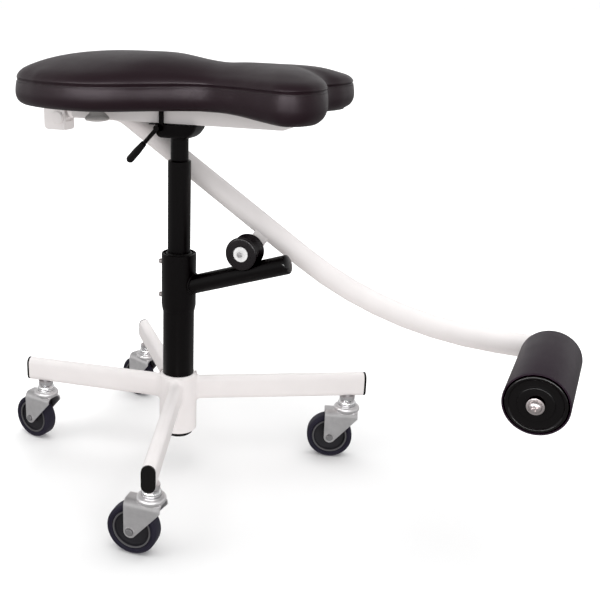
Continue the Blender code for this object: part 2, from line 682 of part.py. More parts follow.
def build_lever(b):
    """Bent tube with a flat ear and a knuckle at its upper end and a plug in its lower end."""
    hx, hz = HINGE
    origin = (hx, LEVER_Y, hz)
    path = lever_path()
    end_z = path[-1][1]
    shaft = move(tube(path, LEVER_R, LEVER_WALL), Matrix.Translation((0, LEVER_Y, 0)))
    neck = LEVER_START_X + KNUCKLE_R
    top = LEVER_TOP_Z + LEVER_R - EASE
    low = LEVER_TOP_Z - LEVER_R + EASE
    slant = EAR_T / 2
    ear = arc(hx, hz, KNUCKLE_R - GAP, 110, 250, 8)
    ear += [(LEVER_START_X - slant, low), (neck, low), (neck, top), (LEVER_START_X, top),
            (LEVER_START_X - slant, top - slant)]
    ear_plate = prism(ear, LEVER_Y - EAR_T / 2, LEVER_Y + EAR_T / 2, "XZ")
    width = BLOCK_HALF_W - CHEEK_T - GAP
    side = BLOCK_HALF_W + PAST
    knuckle = along_y(rod(KNUCKLE_R, -width, width, SEG_TUBE), hx, hz, LEVER_Y)
    pin_hole = along_y(rod(PIN_R + GAP, -side, side, SEG_S), hx, hz, LEVER_Y)
    axle_hole = rod(ROLL_AXLE_R + GAP, -LEVER_R - PAST, LEVER_R + PAST, SEG_S)
    axle_hole = along_y(axle_hole, ROLL_X, end_z - ROLL_DROP, LEVER_Y)
    b.body("lever_tube", shaft, "white_paint", origin, join=(ear_plate, knuckle), cut=(pin_hole, axle_hole))
    inner = LEVER_R - LEVER_WALL - GAP
    cap = [(0, 2 * EASE_L), (LEVER_R - EASE_L, 2 * EASE_L), (LEVER_R, EASE_L), (LEVER_R, GAP), (inner, GAP),
           (inner, -LEVER_R / 2), (0, -LEVER_R / 2)]
    end = Vector((LEVER_END_X, LEVER_Y, end_z))
    b.add("lever_cap", along(lathe(cap, SEG_TUBE), end, end + Vector((1, 0, 0))), "black_plastic", origin)
    build_guide(b, origin)
    build_leg_roller(b, end_z - ROLL_DROP)


def build_guide(b, origin):
    """Tab under the lever, and the grooved roller with its nylon hub on an axle through the tab."""
    gx, gz = guide_centre()
    across = Vector((math.sin(LEVER_TILT), math.cos(LEVER_TILT)))
    side = Vector((math.cos(LEVER_TILT), -math.sin(LEVER_TILT)))
    base = Vector((gx, gz))
    outline = [base + side * u - across * v for u, v in arc(0, 0, TAB_HALF_W, 0, 180, 9)]
    outline += [base + side * (sign * TAB_HALF_W) + across * TAB_REACH for sign in (-1, 1)]
    tab = prism(outline, TAB_Y[0], TAB_Y[1], "XZ")
    lever_cut = move(tube(lever_path(), LEVER_R + GAP), Matrix.Translation((0, LEVER_Y, 0)))
    hole = along_y(rod(GUIDE_AXLE_R + GAP, -TAB_Y[1] - PAST, PAST, SEG_S), gx, gz)
    b.body("guide_tab", tab, "white_paint", origin, cut=(lever_cut, hole))
    centre = (gx, 0.0, gz)
    front = GUIDE_HALF + EASE
    sink = front - GUIDE_SINK
    shank = GUIDE_AXLE_R / 2
    nut_face = -GUIDE_HALF - EASE
    back = -TAB_Y[1] - GAP
    tab_front = GAP - TAB_Y[0]
    top = front + GUIDE_SCREW
    axle = [(0, top), (GUIDE_SCREW_R - EASE, top), (GUIDE_SCREW_R, top - EASE), (GUIDE_SCREW_R, front + GAP),
            (shank, front + GAP), (shank, sink), (GUIDE_AXLE_R, sink), (GUIDE_AXLE_R, nut_face),
            (GUIDE_NUT_R, nut_face), (GUIDE_NUT_R, tab_front), (GUIDE_AXLE_R, tab_front),
            (GUIDE_AXLE_R, back), (GUIDE_NUT_R, back), (GUIDE_NUT_R, back - GUIDE_NUT), (0, back - GUIDE_NUT)]
    b.add("guide_axle", along_y(lathe(axle, SEG_S), gx, gz), "bolt_steel", centre)
    bore = GUIDE_AXLE_R + GAP
    hub = [(shank + GAP, front), (GUIDE_HUB_R - EASE, front), (GUIDE_HUB_R, front - EASE),
           (GUIDE_HUB_R, -GUIDE_HALF), (bore, -GUIDE_HALF), (bore, sink + GAP), (shank + GAP, sink + GAP)]
    b.add("guide_hub", along_y(lathe(hub, SEG_M, closed=True), gx, gz), "white_nylon", centre)
    rail = RAIL_R + GAP
    half = []
    for share in GROOVE_STEPS:
        y = share * rail
        half.append((rail + GUIDE_GROOVE_R - math.sqrt(rail ** 2 - y ** 2), y))
    half += [(GUIDE_FLANGE_R, half[-1][1] + EASE), (GUIDE_FLANGE_R, GUIDE_HALF - EASE_L),
             (GUIDE_FLANGE_R - EASE_L, GUIDE_HALF)]
    wheel = mirrored(half) + half[1:]
    wheel = [(GUIDE_HUB_R + GAP, -GUIDE_HALF), *wheel, (GUIDE_HUB_R + GAP, GUIDE_HALF)]
    b.add("guide_roller", along_y(lathe(wheel, SEG_WHEEL, closed=True), gx, gz), "black_plastic", centre)


def build_leg_roller(b, axis_z):
    """Long roller on a bolt through the lever's end; its own Z runs from the lever to the free end."""
    centre = (ROLL_X, ROLL_Y1 - ROLL_LEN / 2, axis_z)
    length = ROLL_LEN

    def stand(profile, segments, closed=True):
        return along_y(lathe(profile, segments, closed), ROLL_X, axis_z, ROLL_Y1)

    lip = ROLL_CAP_R + GAP
    half = [(ROLL_BORE_R, ROLL_RECESS), (lip, ROLL_RECESS), (lip, 0.0)]
    half += arc(ROLL_R - ROLL_EDGE, ROLL_EDGE, ROLL_EDGE, 270, 360, 3)
    sleeve = half + [(r, length - z) for r, z in reversed(half)]
    b.add("leg_roller", stand(sleeve, SEG_L), "black_vinyl", centre)
    bore = ROLL_AXLE_R + GAP
    core_r = ROLL_BORE_R - GAP
    core = [(bore, EASE), (ROLL_CAP_R, EASE), (ROLL_CAP_R, ROLL_RECESS - GAP), (core_r, ROLL_RECESS - GAP),
            (core_r, length - ROLL_RECESS), (bore, length - ROLL_RECESS)]
    b.add("leg_roller_core", stand(core, SEG_M), "black_plastic", centre)
    inner = length - ROLL_RECESS + GAP
    top = length + ROLL_BOSS
    step = length - EASE / 2
    cap = [(bore, top), (ROLL_BOSS_R - EASE_L, top), (ROLL_BOSS_R, top - EASE_L), (ROLL_BOSS_R + EASE, step),
           (ROLL_CAP_R - EASE, step), (ROLL_CAP_R, step - EASE), (ROLL_CAP_R, inner), (bore, inner)]
    b.add("leg_roller_cap", stand(cap, SEG_L), "black_plastic", centre)
    washer = top + GAP
    head = washer + ROLL_WASHER_T
    crown = head + ROLL_HEAD
    lever = ROLL_Y1 - LEVER_Y
    near = lever + LEVER_R + GAP
    tail = lever - LEVER_R - GAP
    bolt = [(0, crown), (ROLL_HEAD_R - EASE_L, crown), (ROLL_HEAD_R, crown - EASE_L), (ROLL_HEAD_R, head),
            (ROLL_WASHER_R, head), (ROLL_WASHER_R, washer), (ROLL_AXLE_R, washer), (ROLL_AXLE_R, 0.0),
            (ROLL_WASHER_R, 0.0), (ROLL_WASHER_R, near), (ROLL_AXLE_R, near), (ROLL_AXLE_R, tail),
            (ROLL_WASHER_R, tail), (ROLL_WASHER_R, tail - ROLL_NUT), (0, tail - ROLL_NUT)]
    b.add("leg_roller_bolt", stand(bolt, SEG_BOLT, False), "bolt_steel", centre)


def build_hinge(b):
    """Bracket with two cheeks under the board, and the pin with round caps."""
    hx, hz = HINGE
    left, right = hx - BLOCK_LEFT, hx + BLOCK_RIGHT
    top, low = BOARD_Z - GAP, hz - BLOCK_BELOW
    half = BLOCK_HALF_W
    outline = [(right, top), (left, top)]
    outline += arc(left + BLOCK_CORNER, low + BLOCK_CORNER, BLOCK_CORNER, 180, 270, 4)
    outline += arc(right - BLOCK_CORNER_S, low + BLOCK_CORNER_S, BLOCK_CORNER_S, 270, 360, 2)
    block = prism(outline, LEVER_Y - half, LEVER_Y + half, "XZ")
    cheek = half - CHEEK_T
    slot = box(left - PAST, right + PAST, LEVER_Y - cheek, LEVER_Y + cheek, low - PAST, top - CHEEK_T)
    hole = along_y(rod(PIN_R + GAP, -half - PAST, half + PAST, SEG_S), hx, hz, LEVER_Y)
    b.body("hinge_bracket", block, "white_paint", cut=(slot, hole))
    face = half + GAP
    end = face + PIN_CAP_T
    cap = [(0, end), (PIN_CAP_R - EASE_L, end), (PIN_CAP_R, end - EASE_L), (PIN_CAP_R, face), (PIN_R, face)]
    pin = along_y(lathe(cap + mirrored(cap), SEG_BOLT), hx, hz, LEVER_Y)
    b.add("hinge_pin", pin, "white_nylon", (hx, LEVER_Y, hz))


def rounded_box_loft(levels, steps):
    """Loft through rounded rectangles (left, right, half width, corner radius, height), one closed body."""
    bm = bmesh.new()
    rows = []
    for left, right, half, radius, z in levels:
        loop = []
        for cx, cy, start in ((right - radius, half - radius, 0), (left + radius, half - radius, 90),
                              (left + radius, radius - half, 180), (right - radius, radius - half, 270)):
            loop += arc(cx, cy, radius, start, start + 90, steps)
        rows.append([bm.verts.new((x, y, z)) for x, y in loop])
    bridge(bm, rows)
    bm.faces.new(rows[0])
    bm.faces.new(rows[-1])
    return bm


def bridge(bm, rows):
    """Faces between each closed row of vertices and the next."""
    for first, second in zip(rows, rows[1:]):
        for i in range(len(first)):
            j = (i + 1) % len(first)
            bm.faces.new((first[i], first[j], second[j], second[i]))


def build_pan(b):
    """Pressed pan that takes the gas cylinder, with a lip and a strap up to the board."""
    wall = PAN_WALL
    half = PAN_HALF
    outer = [(x0, x1, width, radius, PAN_TOP - depth) for x0, x1, width, radius, depth in PAN_LEVELS]
    inner = [(x0 + wall, x1 - wall, width - wall, radius - wall, PAN_TOP - depth + (wall if depth else EASE))
             for x0, x1, width, radius, depth in PAN_LEVELS[:-1]]
    lip = box(PAN_LIP_X, PAN_LEVELS[0][0] + EASE, -half, half, PAN_TOP - PAN_LIP_T, PAN_TOP)
    strap = box(STRAP_X - STRAP_HALF, STRAP_X + STRAP_HALF, -half, STRAP_T - half,
                PAN_TOP - STRAP_LAP, BOARD_Z - GAP)
    floor = outer[-1][-1]
    hole = rod(CYL_R + GAP, floor - PAST, floor + PAST, SEG_M)
    pin_hole = rod(HANDLE_PIN_R + GAP, half - 2 * wall, half + wall, SEG_S)
    pin_hole = along_y(pin_hole, HANDLE_X, PAN_TOP - HANDLE_DROP)
    pan = b.body("lift_bracket", rounded_box_loft(outer, 3), "black_paint", join=(lip,),
                 cut=(rounded_box_loft(inner, 3), hole))
    b.combine(pan, b.add("strap", strap, "black_paint"), "UNION")
    b.combine(pan, b.add("hole", pin_hole, "black_paint"), "DIFFERENCE")


def build_carrier(b):
    """Channel under the board that rests on the pan, open at its top."""
    x0, x1 = CARRIER_X
    y0, y1 = CARRIER_Y
    z0, z1 = CARRIER_BOTTOM, BOARD_Z - GAP
    back, corner, wall = CARRIER_BACK, CARRIER_CORNER, CARRIER_WALL
    side = [(x1, z1), (x0, z1)]
    side += arc(x0 + back, z0 + back, back, 180, 270, 3)
    side += arc(x1 - corner, z0 + corner, corner, 270, 360, 5)
    trough = [(x0 + wall, z0 + wall + back), (x0 + wall + back, z0 + wall), (x1 - corner, z0 + wall),
              (x1 - wall, z0 + corner), (x1 - wall, z1 + PAST), (x0 + wall, z1 + PAST)]
    trough = prism(trough, y0 + wall, y1 - wall, "XZ")
    b.body("seat_carrier", prism(side, y0, y1, "XZ"), "white_paint", cut=(trough,))


def build_buffer(b):
    top = BOARD_Z - GAP
    low = BOARD_Z - BUFFER_DROP
    rubber = [(0, top), (BUFFER_STEM_R, top), (BUFFER_STEM_R, low + BUFFER_T)]
    rubber += [(BUFFER_R * r, low + BUFFER_T * t) for r, t in BUFFER_EDGE]
    rubber.append((0, low))
    b.add("rubber_buffer", move(lathe(rubber, SEG_M), Matrix.Translation((*BUFFER, 0))), "dark_rubber")


def build_handle(b):
    """Release lever on a pin in the pan's near wall."""
    face = PAN_HALF + GAP
    pivot = Vector((HANDLE_X, -face - HANDLE_R, PAN_TOP - HANDLE_DROP))
    way = Vector((math.cos(HANDLE_SLOPE), 0, math.sin(HANDLE_SLOPE)))
    end = pivot + way * HANDLE_LEN
    arm = along(rod(HANDLE_R, 0, HANDLE_LEN + HANDLE_SOCKET, SEG_S, EASE / 2), pivot, end)
    boss = along_y(rod(HANDLE_BOSS_R, face, face + 2 * HANDLE_R, SEG_M), pivot.x, pivot.z)
    pin = along_y(rod(HANDLE_PIN_R, face - PAN_WALL, face + HANDLE_R, SEG_S), pivot.x, pivot.z)
    b.body("release_lever", arm, "black_paint", pivot, join=(boss, pin))
    bore = HANDLE_R + GAP
    seat = HANDLE_SOCKET + GAP
    grip = arc(0, GRIP_LEN - GRIP_R, GRIP_R, 90, 0, 3)
    grip += [(GRIP_R, GRIP_LEN * GRIP_BELLY), (GRIP_R * GRIP_NECK, 0.0), (bore, 0.0), (bore, seat), (0, seat)]
    b.add("release_grip", along(lathe(grip, SEG_S), end, end + way), "black_plastic", pivot)


def pad_outline(steps):
    """Closed plan outline: a Catmull-Rom curve through the half outline and its mirror image."""
    half = list(PAD_OUTLINE)
    knots = [Vector(k) for k in half + [(x, -y) for x, y in reversed(half[1:-1])]]
    count = len(knots)
    pts = []
    for i in range(count):
        p0, p1, p2, p3 = (knots[(i + k) % count] for k in (-1, 0, 1, 2))
        for s in range(steps):
            t = s / steps
            pts.append(0.5 * (2 * p1 + (p2 - p0) * t + (2 * p0 - 5 * p1 + 4 * p2 - p3) * t * t
                              + (3 * p1 - p0 - 3 * p2 + p3) * t ** 3))
    return pts


def inset(pts, distance):
    """Outline moved inwards along its normals."""
    moved = []
    count = len(pts)
    for i, p in enumerate(pts):
        t = (pts[(i + 1) % count] - pts[i - 1]).normalized()
        moved.append(p + Vector((t.y, -t.x)) * distance)
    return moved


def spine(p):
    """Nearest point of the pad's middle line."""
    low, high = PAD_SPINE
    return Vector((min(max(p.x, low), high), 0.0))


def crown_height(x):
    """Height of the crown above the band on the middle line: full at the wide end, lower at the two lobes."""
    t = min(max((x - PAD_DROP_X[0]) / (PAD_DROP_X[1] - PAD_DROP_X[0]), 0.0), 1.0)
    return PAD_CROWN - PAD_DROP * t * t * (3 - 2 * t)


def build_pad(b):
    """Board, and the cushion over it: a drawn-in band below and a full crown above, lofted in rows."""
    outline = pad_outline(2)
    bottom = BOARD_Z
    recess = BOARD_Z + BOARD_T + GAP
    seam = PAD_BAND_TOP
    band = [(PAD_RECESS_INSET, recess), (PAD_RECESS_INSET, bottom), (PAD_TUCK * 1.25, bottom),
            (PAD_TUCK * 0.62, bottom + 0.10 * PAD_BAND), (PAD_TUCK * 0.20, bottom + 0.32 * PAD_BAND),
            (0.0, bottom + 0.62 * PAD_BAND), (PAD_PIPE, seam - 5 * PAD_PIPE), (PAD_PIPE, seam - 2 * PAD_PIPE),
            (2 * PAD_PIPE, seam)]
    loops = []
    for t in (1.0, 0.5):
        loops.append([(*(p.lerp(spine(p), t)), recess) for p in inset(outline, PAD_RECESS_INSET)])
    for amount, z in band:
        loops.append([(*p, z) for p in inset(outline, amount)])
    edge = [(p, spine(p)) for p in inset(outline, 2 * PAD_PIPE)]
    for t in PAD_STEPS:
        swell = (1 - (1 - t) ** 2) ** PAD_FULLNESS
        loops.append([(*p.lerp(middle, t), seam + crown_height(middle.x) * swell) for p, middle in edge])
    bm = bmesh.new()
    bridge(bm, [[bm.verts.new(co) for co in loop] for loop in loops])
    bmesh.ops.remove_doubles(bm, verts=bm.verts, dist=1e-5)
    bmesh.ops.dissolve_degenerate(bm, dist=1e-6, edges=bm.edges)
    b.add("pad_cushion", bm, "black_vinyl", (0, 0, recess))
    board = prism(inset(outline, BOARD_INSET), BOARD_Z, BOARD_Z + BOARD_T, "XY")
    b.add("pad_board", board, "board_black", (0, 0, BOARD_Z))


def recentre(b):
    """Move everything so that the origin is the middle of the footprint, on the floor."""
    bpy.context.view_layer.update()
    points = [ob.matrix_world @ v.co for ob in b.col.objects for v in ob.data.vertices]
    mid_x = (min(p.x for p in points) + max(p.x for p in points)) / 2
    mid_y = (min(p.y for p in points) + max(p.y for p in points)) / 2
    for ob in b.col.objects:
        ob.location.x -= mid_x
        ob.location.y -= mid_y


def main():
    clear_scene()
    b = Builder()
    build_hub(b)
    build_arms(b)
    build_castors(b)
    build_column(b)
    build_collar(b)
    build_lever(b)
    build_hinge(b)
    build_pan(b)
    build_carrier(b)
    build_buffer(b)
    build_handle(b)
    build_pad(b)
    recentre(b)


main()
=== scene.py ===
"""Looks of the leg lifter: finishes, cushion, leg roller, small fittings, castors, welds and the studio.

Lengths are metres in the frame's own coordinates. X runs along the lever towards the leg roller, Z is up.
"""
import json
import math

import bmesh
import bpy
from bpy.props import FloatProperty, FloatVectorProperty, IntProperty, PointerProperty
from bpy.types import Operator, Panel, PropertyGroup
from mathutils import Matrix, Vector, noise

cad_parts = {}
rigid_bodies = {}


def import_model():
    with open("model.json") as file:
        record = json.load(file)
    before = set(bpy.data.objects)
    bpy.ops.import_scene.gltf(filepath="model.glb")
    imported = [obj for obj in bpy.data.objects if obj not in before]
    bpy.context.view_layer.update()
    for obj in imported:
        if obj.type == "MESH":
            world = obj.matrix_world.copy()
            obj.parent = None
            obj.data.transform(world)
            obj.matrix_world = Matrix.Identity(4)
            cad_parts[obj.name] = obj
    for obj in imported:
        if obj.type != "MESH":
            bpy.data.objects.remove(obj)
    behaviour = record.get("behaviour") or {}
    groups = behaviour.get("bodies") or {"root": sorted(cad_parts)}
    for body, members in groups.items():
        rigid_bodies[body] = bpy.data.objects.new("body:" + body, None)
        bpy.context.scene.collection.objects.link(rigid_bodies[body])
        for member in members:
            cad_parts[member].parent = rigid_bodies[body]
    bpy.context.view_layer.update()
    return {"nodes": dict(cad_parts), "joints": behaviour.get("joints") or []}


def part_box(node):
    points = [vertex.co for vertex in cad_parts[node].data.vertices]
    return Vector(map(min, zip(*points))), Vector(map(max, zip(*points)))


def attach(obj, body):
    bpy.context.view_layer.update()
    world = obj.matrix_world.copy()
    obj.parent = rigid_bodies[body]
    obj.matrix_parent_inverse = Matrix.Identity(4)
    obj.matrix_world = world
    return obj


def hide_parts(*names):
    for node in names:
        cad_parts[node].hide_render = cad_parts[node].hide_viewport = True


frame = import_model()

bl_info = {
    "name": "Leg Lifter Looks",
    "version": (1, 0, 0),
    "blender": (4, 5, 0),
    "location": "View3D > Sidebar > Leg Lifter",
    "description": "Finishes, upholstery, welds and studio for a leg lifter",
    "category": "Object",
}


def box_centre(node):
    low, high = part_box(node)
    return (low + high) / 2


def column_axis():
    """Foot of the column's axis, on the floor."""
    middle = box_centre("outer_column")
    return Vector((middle.x, middle.y, 0.0))


AXIS = column_axis()
UP = Vector((0.0, 0.0, 1.0))
CASTORS = ("right", "near", "left", "far")

# Solids that keep their shape, by finish
WHITE_NODES = ("base_hub", *(f"arm_{name}" for name in CASTORS), "lever_tube", "guide_tab", "hinge_bracket",
               "hinge_pin", "seat_carrier")
BLACK_NODES = ("outer_column", "mid_column", "gas_cylinder", "rail_collar", "release_lever")
PLASTIC_NODES = ("hub_plug", *(f"arm_cap_{name}" for name in CASTORS), "guide_bush", "column_foot",
                 "lever_cap", "release_grip")
STEEL_NODES = ("piston_rod", "clamp_screw_1", "clamp_screw_2")

# Width of the rounding on the edges of some of them; the others keep their modelled edges
EDGE_ROUNDING = {"hinge_bracket": 0.0008, "seat_carrier": 0.0006}
WELD_GAP = 0.00001

# Angle from which an edge is sharp, on those solids and on the new pieces, and from which it is rounded
CARRIED_SHARP = math.radians(36)
SHARP = math.radians(40)
ROUNDED = math.radians(50)

# Moulded finishes: colour, roughness, size and strength of the texture, mirror strength
MOULDINGS = {
    "black_moulding": ((0.0085, 0.0078, 0.0080), 0.44, 0.0006, 0.15, 0.25),
    "glossy_moulding": ((0.0026, 0.0022, 0.0023), 0.15, 0.0015, 0.02, 0.36),
    "guide_moulding": ((0.0060, 0.0048, 0.0054), 0.28, 0.0015, 0.04, 0.35),
    "white_nylon_moulding": ((0.90, 0.90, 0.90), 0.38, 0.0005, 0.08, 0.4),
    "buffer_rubber": ((0.50, 0.48, 0.47), 0.55, 0.0006, 0.15, 0.4),
    "sewing_thread": ((0.016, 0.015, 0.015), 0.6, 0.0006, 0.15, 0.4),
}
BOLT_STEEL = (0.66, 0.60, 0.595)
BRIGHT_ZINC = (0.84, 0.82, 0.83)
DARK_ZINC = (0.46, 0.45, 0.46)
BOARD_PAINT = (0.018, 0.017, 0.016)
VINYL_TINT = (1.0, 0.90, 0.96)

# Half of the cushion's outline, from the column's axis; the other half mirrors it
CUSHION_OUTLINE = ((-0.262, 0.0), (-0.2535, 0.053), (-0.230, 0.100), (-0.182, 0.132), (-0.130, 0.148),
                   (-0.083, 0.151), (-0.040, 0.136), (0.008, 0.101), (0.062, 0.072), (0.120, 0.086),
                   (0.172, 0.108), (0.209, 0.122), (0.2345, 0.109), (0.2465, 0.075), (0.242, 0.040),
                   (0.228, 0.0))
CUSHION_LOW, CUSHION_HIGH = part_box("pad_cushion")
OUTLINE_STEPS = 12
SPINE_X = (-0.110, 0.155)

# Under the cushion: the recess for the board and the hem round it
BOARD_THICKNESS = 0.0083
RECESS_SHARES = (1.0, 0.66, 0.33)
HEM_INSET = 0.0150
HEM_BEND = 0.0035
HEM_ROWS = len(RECESS_SHARES) + 3

# Band and seam
BAND_HEIGHT = 0.0370
BAND_STEPS = 9
BAND_TUCK = 0.0085
BAND_FULL = 0.48
SEAM_INSET = 0.0022
SEAM_LIP = 0.0014
SEAM_Z = CUSHION_LOW.z + BAND_HEIGHT

# Crown: shares of the way from the seam to the middle line that have a row, and how steeply it rises
CROWN_SHARES = (0.0012, 0.010, 0.030, 0.065, 0.11, 0.17, 0.235, 0.31, 0.40, 0.50, 0.61, 0.73, 0.86, 1.0)
CROWN_START = 0.20
EDGE_POWER = 0.44
CROWN_POWER = 0.56
CREST_PROUD = 0.0010
CREST_Z = CUSHION_HIGH.z + CREST_PROUD
CREST_DROP = 0.0126
CREST_DROP_X = (-0.0300, 0.0800)
END_FULLER = 0.12
END_FULLER_X = (-0.250, -0.120)

# Lobes: where they start and are complete, and how each differs
LOBE_X = (0.0900, 0.2150)
LOBE_SIDE = 0.0900
NEAR_LOBE_SAG = 0.0075
NEAR_LOBE_REACH = 0.0040
FAR_LOBE_LIFT = 0.0022

# Filling: how the cover gives and is pressed out. Small unevenness: waves per metre and height
COVER_CLOTH = {"quality": 6, "mass": 0.4, "tension_stiffness": 22.0, "compression_stiffness": 22.0,
               "shear_stiffness": 10.0, "bending_stiffness": 1.2, "vertex_group_mass": "sewn",
               "use_pressure": True, "uniform_pressure_force": 4.0}
FILLING_FRAMES = 20
SMOOTHING_PASSES = 14
RIPPLE = (22.0, 0.0007)
PUCKER = (85.0, 0.0006)
PUCKER_FADE = 0.0070

# Height of a stitch's four points over the cover, as shares of the thread's radius
STITCH_LIFTS = (-0.7, 0.45, 0.45, -0.7)
STITCH_DROP = 0.25
THREAD_SIDES = 6

# Leg roller: the cover's turned-in back, its bolt's bore, and gaps to the core and the cap
BACK_FLAT = 0.0030
BACK_BEND = 0.0016
CORE_GAP = 0.0006
CAP_GAP = 0.0004
ROLLER_BORE = 0.0066

# End cap: depth, radius and drop of its rolled rim, and (radius, height) steps of the dish from rim and boss
CAP_DEPTH = 0.0060
CAP_RIM_R = 0.0032
CAP_RIM_DROP = 0.0024
DISH_FROM_RIM = (0.0058, 0.0012)
DISH_FROM_BOSS = (0.0024, 0.0016)
BOSS_INSET = 0.0012
BOSS_BEND = 0.0014
BOSS_TOP = 0.0004

# Bolt: the washer's edge as (radius, height) from its rim and face, then the shank, the nut and the head
WASHER_EDGE = ((-0.0004, -0.0016), (0.0, -0.0012), (-0.0002, -0.0003), (-0.0010, 0.0))
SHANK_GAP = 0.0006
NUT_SHARE = 0.92
NUT_HEIGHT = 0.0062
HEAD_POWER = 0.9

# Cross recesses: length as a share of the head's radius, width, depth through the top, turn
BOLT_RECESS = (0.95, 0.0012, 0.0044, 0.35)
GUIDE_RECESS = (1.3, 0.0009, 0.0012, 0.4)

# Guide roller: its groove, the bend of its flanges, the gap round its hub, and the head of its axle
GROOVE_R = 0.0172
GROOVE_REACH = 0.86
GROOVE_STEPS = 16
FLANGE_BEND = 0.0034
HUB_GAP = 0.0002
GUIDE_HEAD_R = 0.0042
GUIDE_HEAD_BEND = 0.0012
GUIDE_HEAD_FOOT = 0.0002
GUIDE_HEAD_TOP = 0.0016

# Inclined rail on its collar, and the domed plug in its end
RAIL_R = 0.0150
RAIL_SLOPE = math.radians(19.0)
COLLAR_R = 0.0275
PLUG_DEPTH = 0.0100
PLUG_WALL = 0.0022
PLUG_FLANGE = 0.0002
PLUG_DOME = 0.0062
PLUG_POWER = 0.8
PLUG_ANGLES = (12, 24, 36, 48, 60, 72, 82)

# Rubber buffer: (share of its radius, height) up to its narrow top
BUFFER_PROFILE = ((0.66, 0.0), (0.92, 0.0012), (1.0, 0.0034), (0.96, 0.0062), (0.80, 0.0090), (0.62, 0.0125))
BUFFER_NECK = 0.55

# Hinge bracket's closing web
CHEEK_T = 0.0045
WEB_T = 0.0026
WEB_BELOW = 0.0065

# Pressed pan: left, right, half width, corner radius and depth of each level
PAN_LEVELS = ((-0.0340, 0.0365, 0.0225, 0.0080, 0.0), (-0.0336, 0.0335, 0.0223, 0.0080, 0.0080),
              (-0.0326, 0.0275, 0.0213, 0.0075, 0.0158), (-0.0300, 0.0222, 0.0196, 0.0068, 0.0198),
              (-0.0265, 0.0190, 0.0180, 0.0062, 0.0213), (-0.0230, 0.0170, 0.0165, 0.0060, 0.0217))
PAN_WALL = 0.0025
PAN_EDGE = 0.0006
PAN_LIP_X = -0.0420
PAN_LIP_T = 0.0020
STRAP_X = -0.0205
STRAP_SIZE = (0.0080, 0.0025)
STRAP_LAP = 0.0120

# Pressed fork of a castor, from the wheel's radius up
FORK_ABOVE = 0.0105
FORK_IN = 0.0138
FORK_SHEET = 0.0024
FORK_PLATE = 0.0030
FORK_FRONT = 0.0180
FORK_BACK = 0.0092
FORK_SHOULDER = 0.0120
FORK_BEND = 0.0105
FORK_END_ANGLE = 325
BOSS_R = 0.0078
BOSS_BEAD = 0.0011
BOSS_SUNK = 0.0005

# Rings on the fork: (radius, height over the fork) points, then a roll as centre, radius, angles and steps
SKIRT_LOWER = ((0.0060, -0.0020), (0.0120, -0.0038), (0.0165, -0.0034), (0.0198, -0.0008), (0.0207, 0.0010))
SKIRT_ROLL = (0.0170, 0.0032, 0.0038, 0, 80, 7)
SKIRT_UPPER = ((0.0146, 0.0074), (0.0136, 0.0062), (0.0060, 0.0062))
RACE_LOWER = ((0.0056, 0.0058), (0.0132, 0.0058))
RACE_ROLL = (0.0094, 0.0118, 0.0050, -35, 90, 10)
RACE_UPPER = ((0.0094, 0.0174), (0.0056, 0.0174))

# Tyre: half width, the side's (height, inset) steps from its inner edge, then the round of its tread
TYRE_DEPTH = 0.0083
TYRE_HALF = 0.0118
TYRE_SIDE = ((0.0, 0.0016), (0.0014, 0.0004), (0.0022, 0.0002), (0.0026, 0.0007), (0.0031, 0.0))
TYRE_BEND = 0.0044
TREAD_CLEAR = 0.0002
TREAD_FLAT = 0.0040

# Wheel: hub, web and rim, and the raised lip on the rim
AXLE_R = 0.0036
WHEEL_HUB_R = 0.0095
WHEEL_HUB_HALF = 0.0132
WHEEL_HUB_BEND = 0.0012
WEB_HALF = 0.0040
WEB_BEND = 0.0030
RIM_HALF = 0.0092
RIM_GAP = 0.0003
RIM_WALL = 0.0032
RIM_INSET = 0.0016
RIM_BEND = 0.0011
RIM_DROP = 0.0012
LIP_BEND = 0.0014
LIP_HALF = 0.0012
LIP_SUNK = 0.0020

# Weld bead round the rail and hollow welds on the arms
BEAD_POINTS = 84
BEAD_SIDES = 8
BEAD_RIPPLE = 0.16
RIPPLE_POINTS = 3
ARM_HALF_W = 0.0100
ARM_WELD_STEPS = 14
WELD_ARC_STEPS = 6
WELD_SUNK = 0.0002
WELD_ROOT = 0.0008

CAMERA_FROM_AXIS = Vector((0.6230, -1.2362, 0.7315))
CAMERA_PITCH = math.radians(-16.28)
CAMERA_TURN = math.radians(28.0)
CAMERA_LENS = 54.431
CAMERA_SHIFT = (0.23365, -0.04676)

FLOOR_SIZE = 300.0
FLOOR_DROP = 0.0004

# Soft lights: place, target, size, name of the power's setting and share of it
SOFT_LIGHTS = {
    "overhead_light": ((0.0, 0.1, 2.6), (0.0, 0.0, 0.0), (4.0, 4.0), "overhead", 1.0),
    "fill_right": ((2.0, -2.0, 0.75), (0.0, 0.0, 0.4), (2.0, 1.4), "fill", 1.3),
    "fill_left": ((-2.2, -1.8, 1.4), (0.0, 0.0, 0.3), (2.0, 2.0), "fill", 0.7),
    "bounce_light": ((0.0, 0.0, -1.2), (0.0, 0.0, 0.0), (4.0, 4.0), "bounce", 1.0),
}

# Long light: place, target and size, and how the names start of the pieces that it reaches
STRIP_LIGHT = ((0.1, -2.50, 1.25), (0.0, 0.0, 0.60), (5.0, 0.45))
STRIP_LIT = ("cushion", "roller_", "swivel", "rail_plug", "guide_wheel")


def colour_setting(name, description, default):
    return FloatVectorProperty(name=name, description=description, subtype="COLOR", size=3, min=0.0, max=1.0,
                               default=default)


def length_setting(name, description, default):
    return FloatProperty(name=name, description=description, unit="LENGTH", default=default)


def power_setting(name, description, default):
    return FloatProperty(name=name, description=description, unit="POWER", default=default)


def plain_setting(name, description, default):
    return FloatProperty(name=name, description=description, default=default)


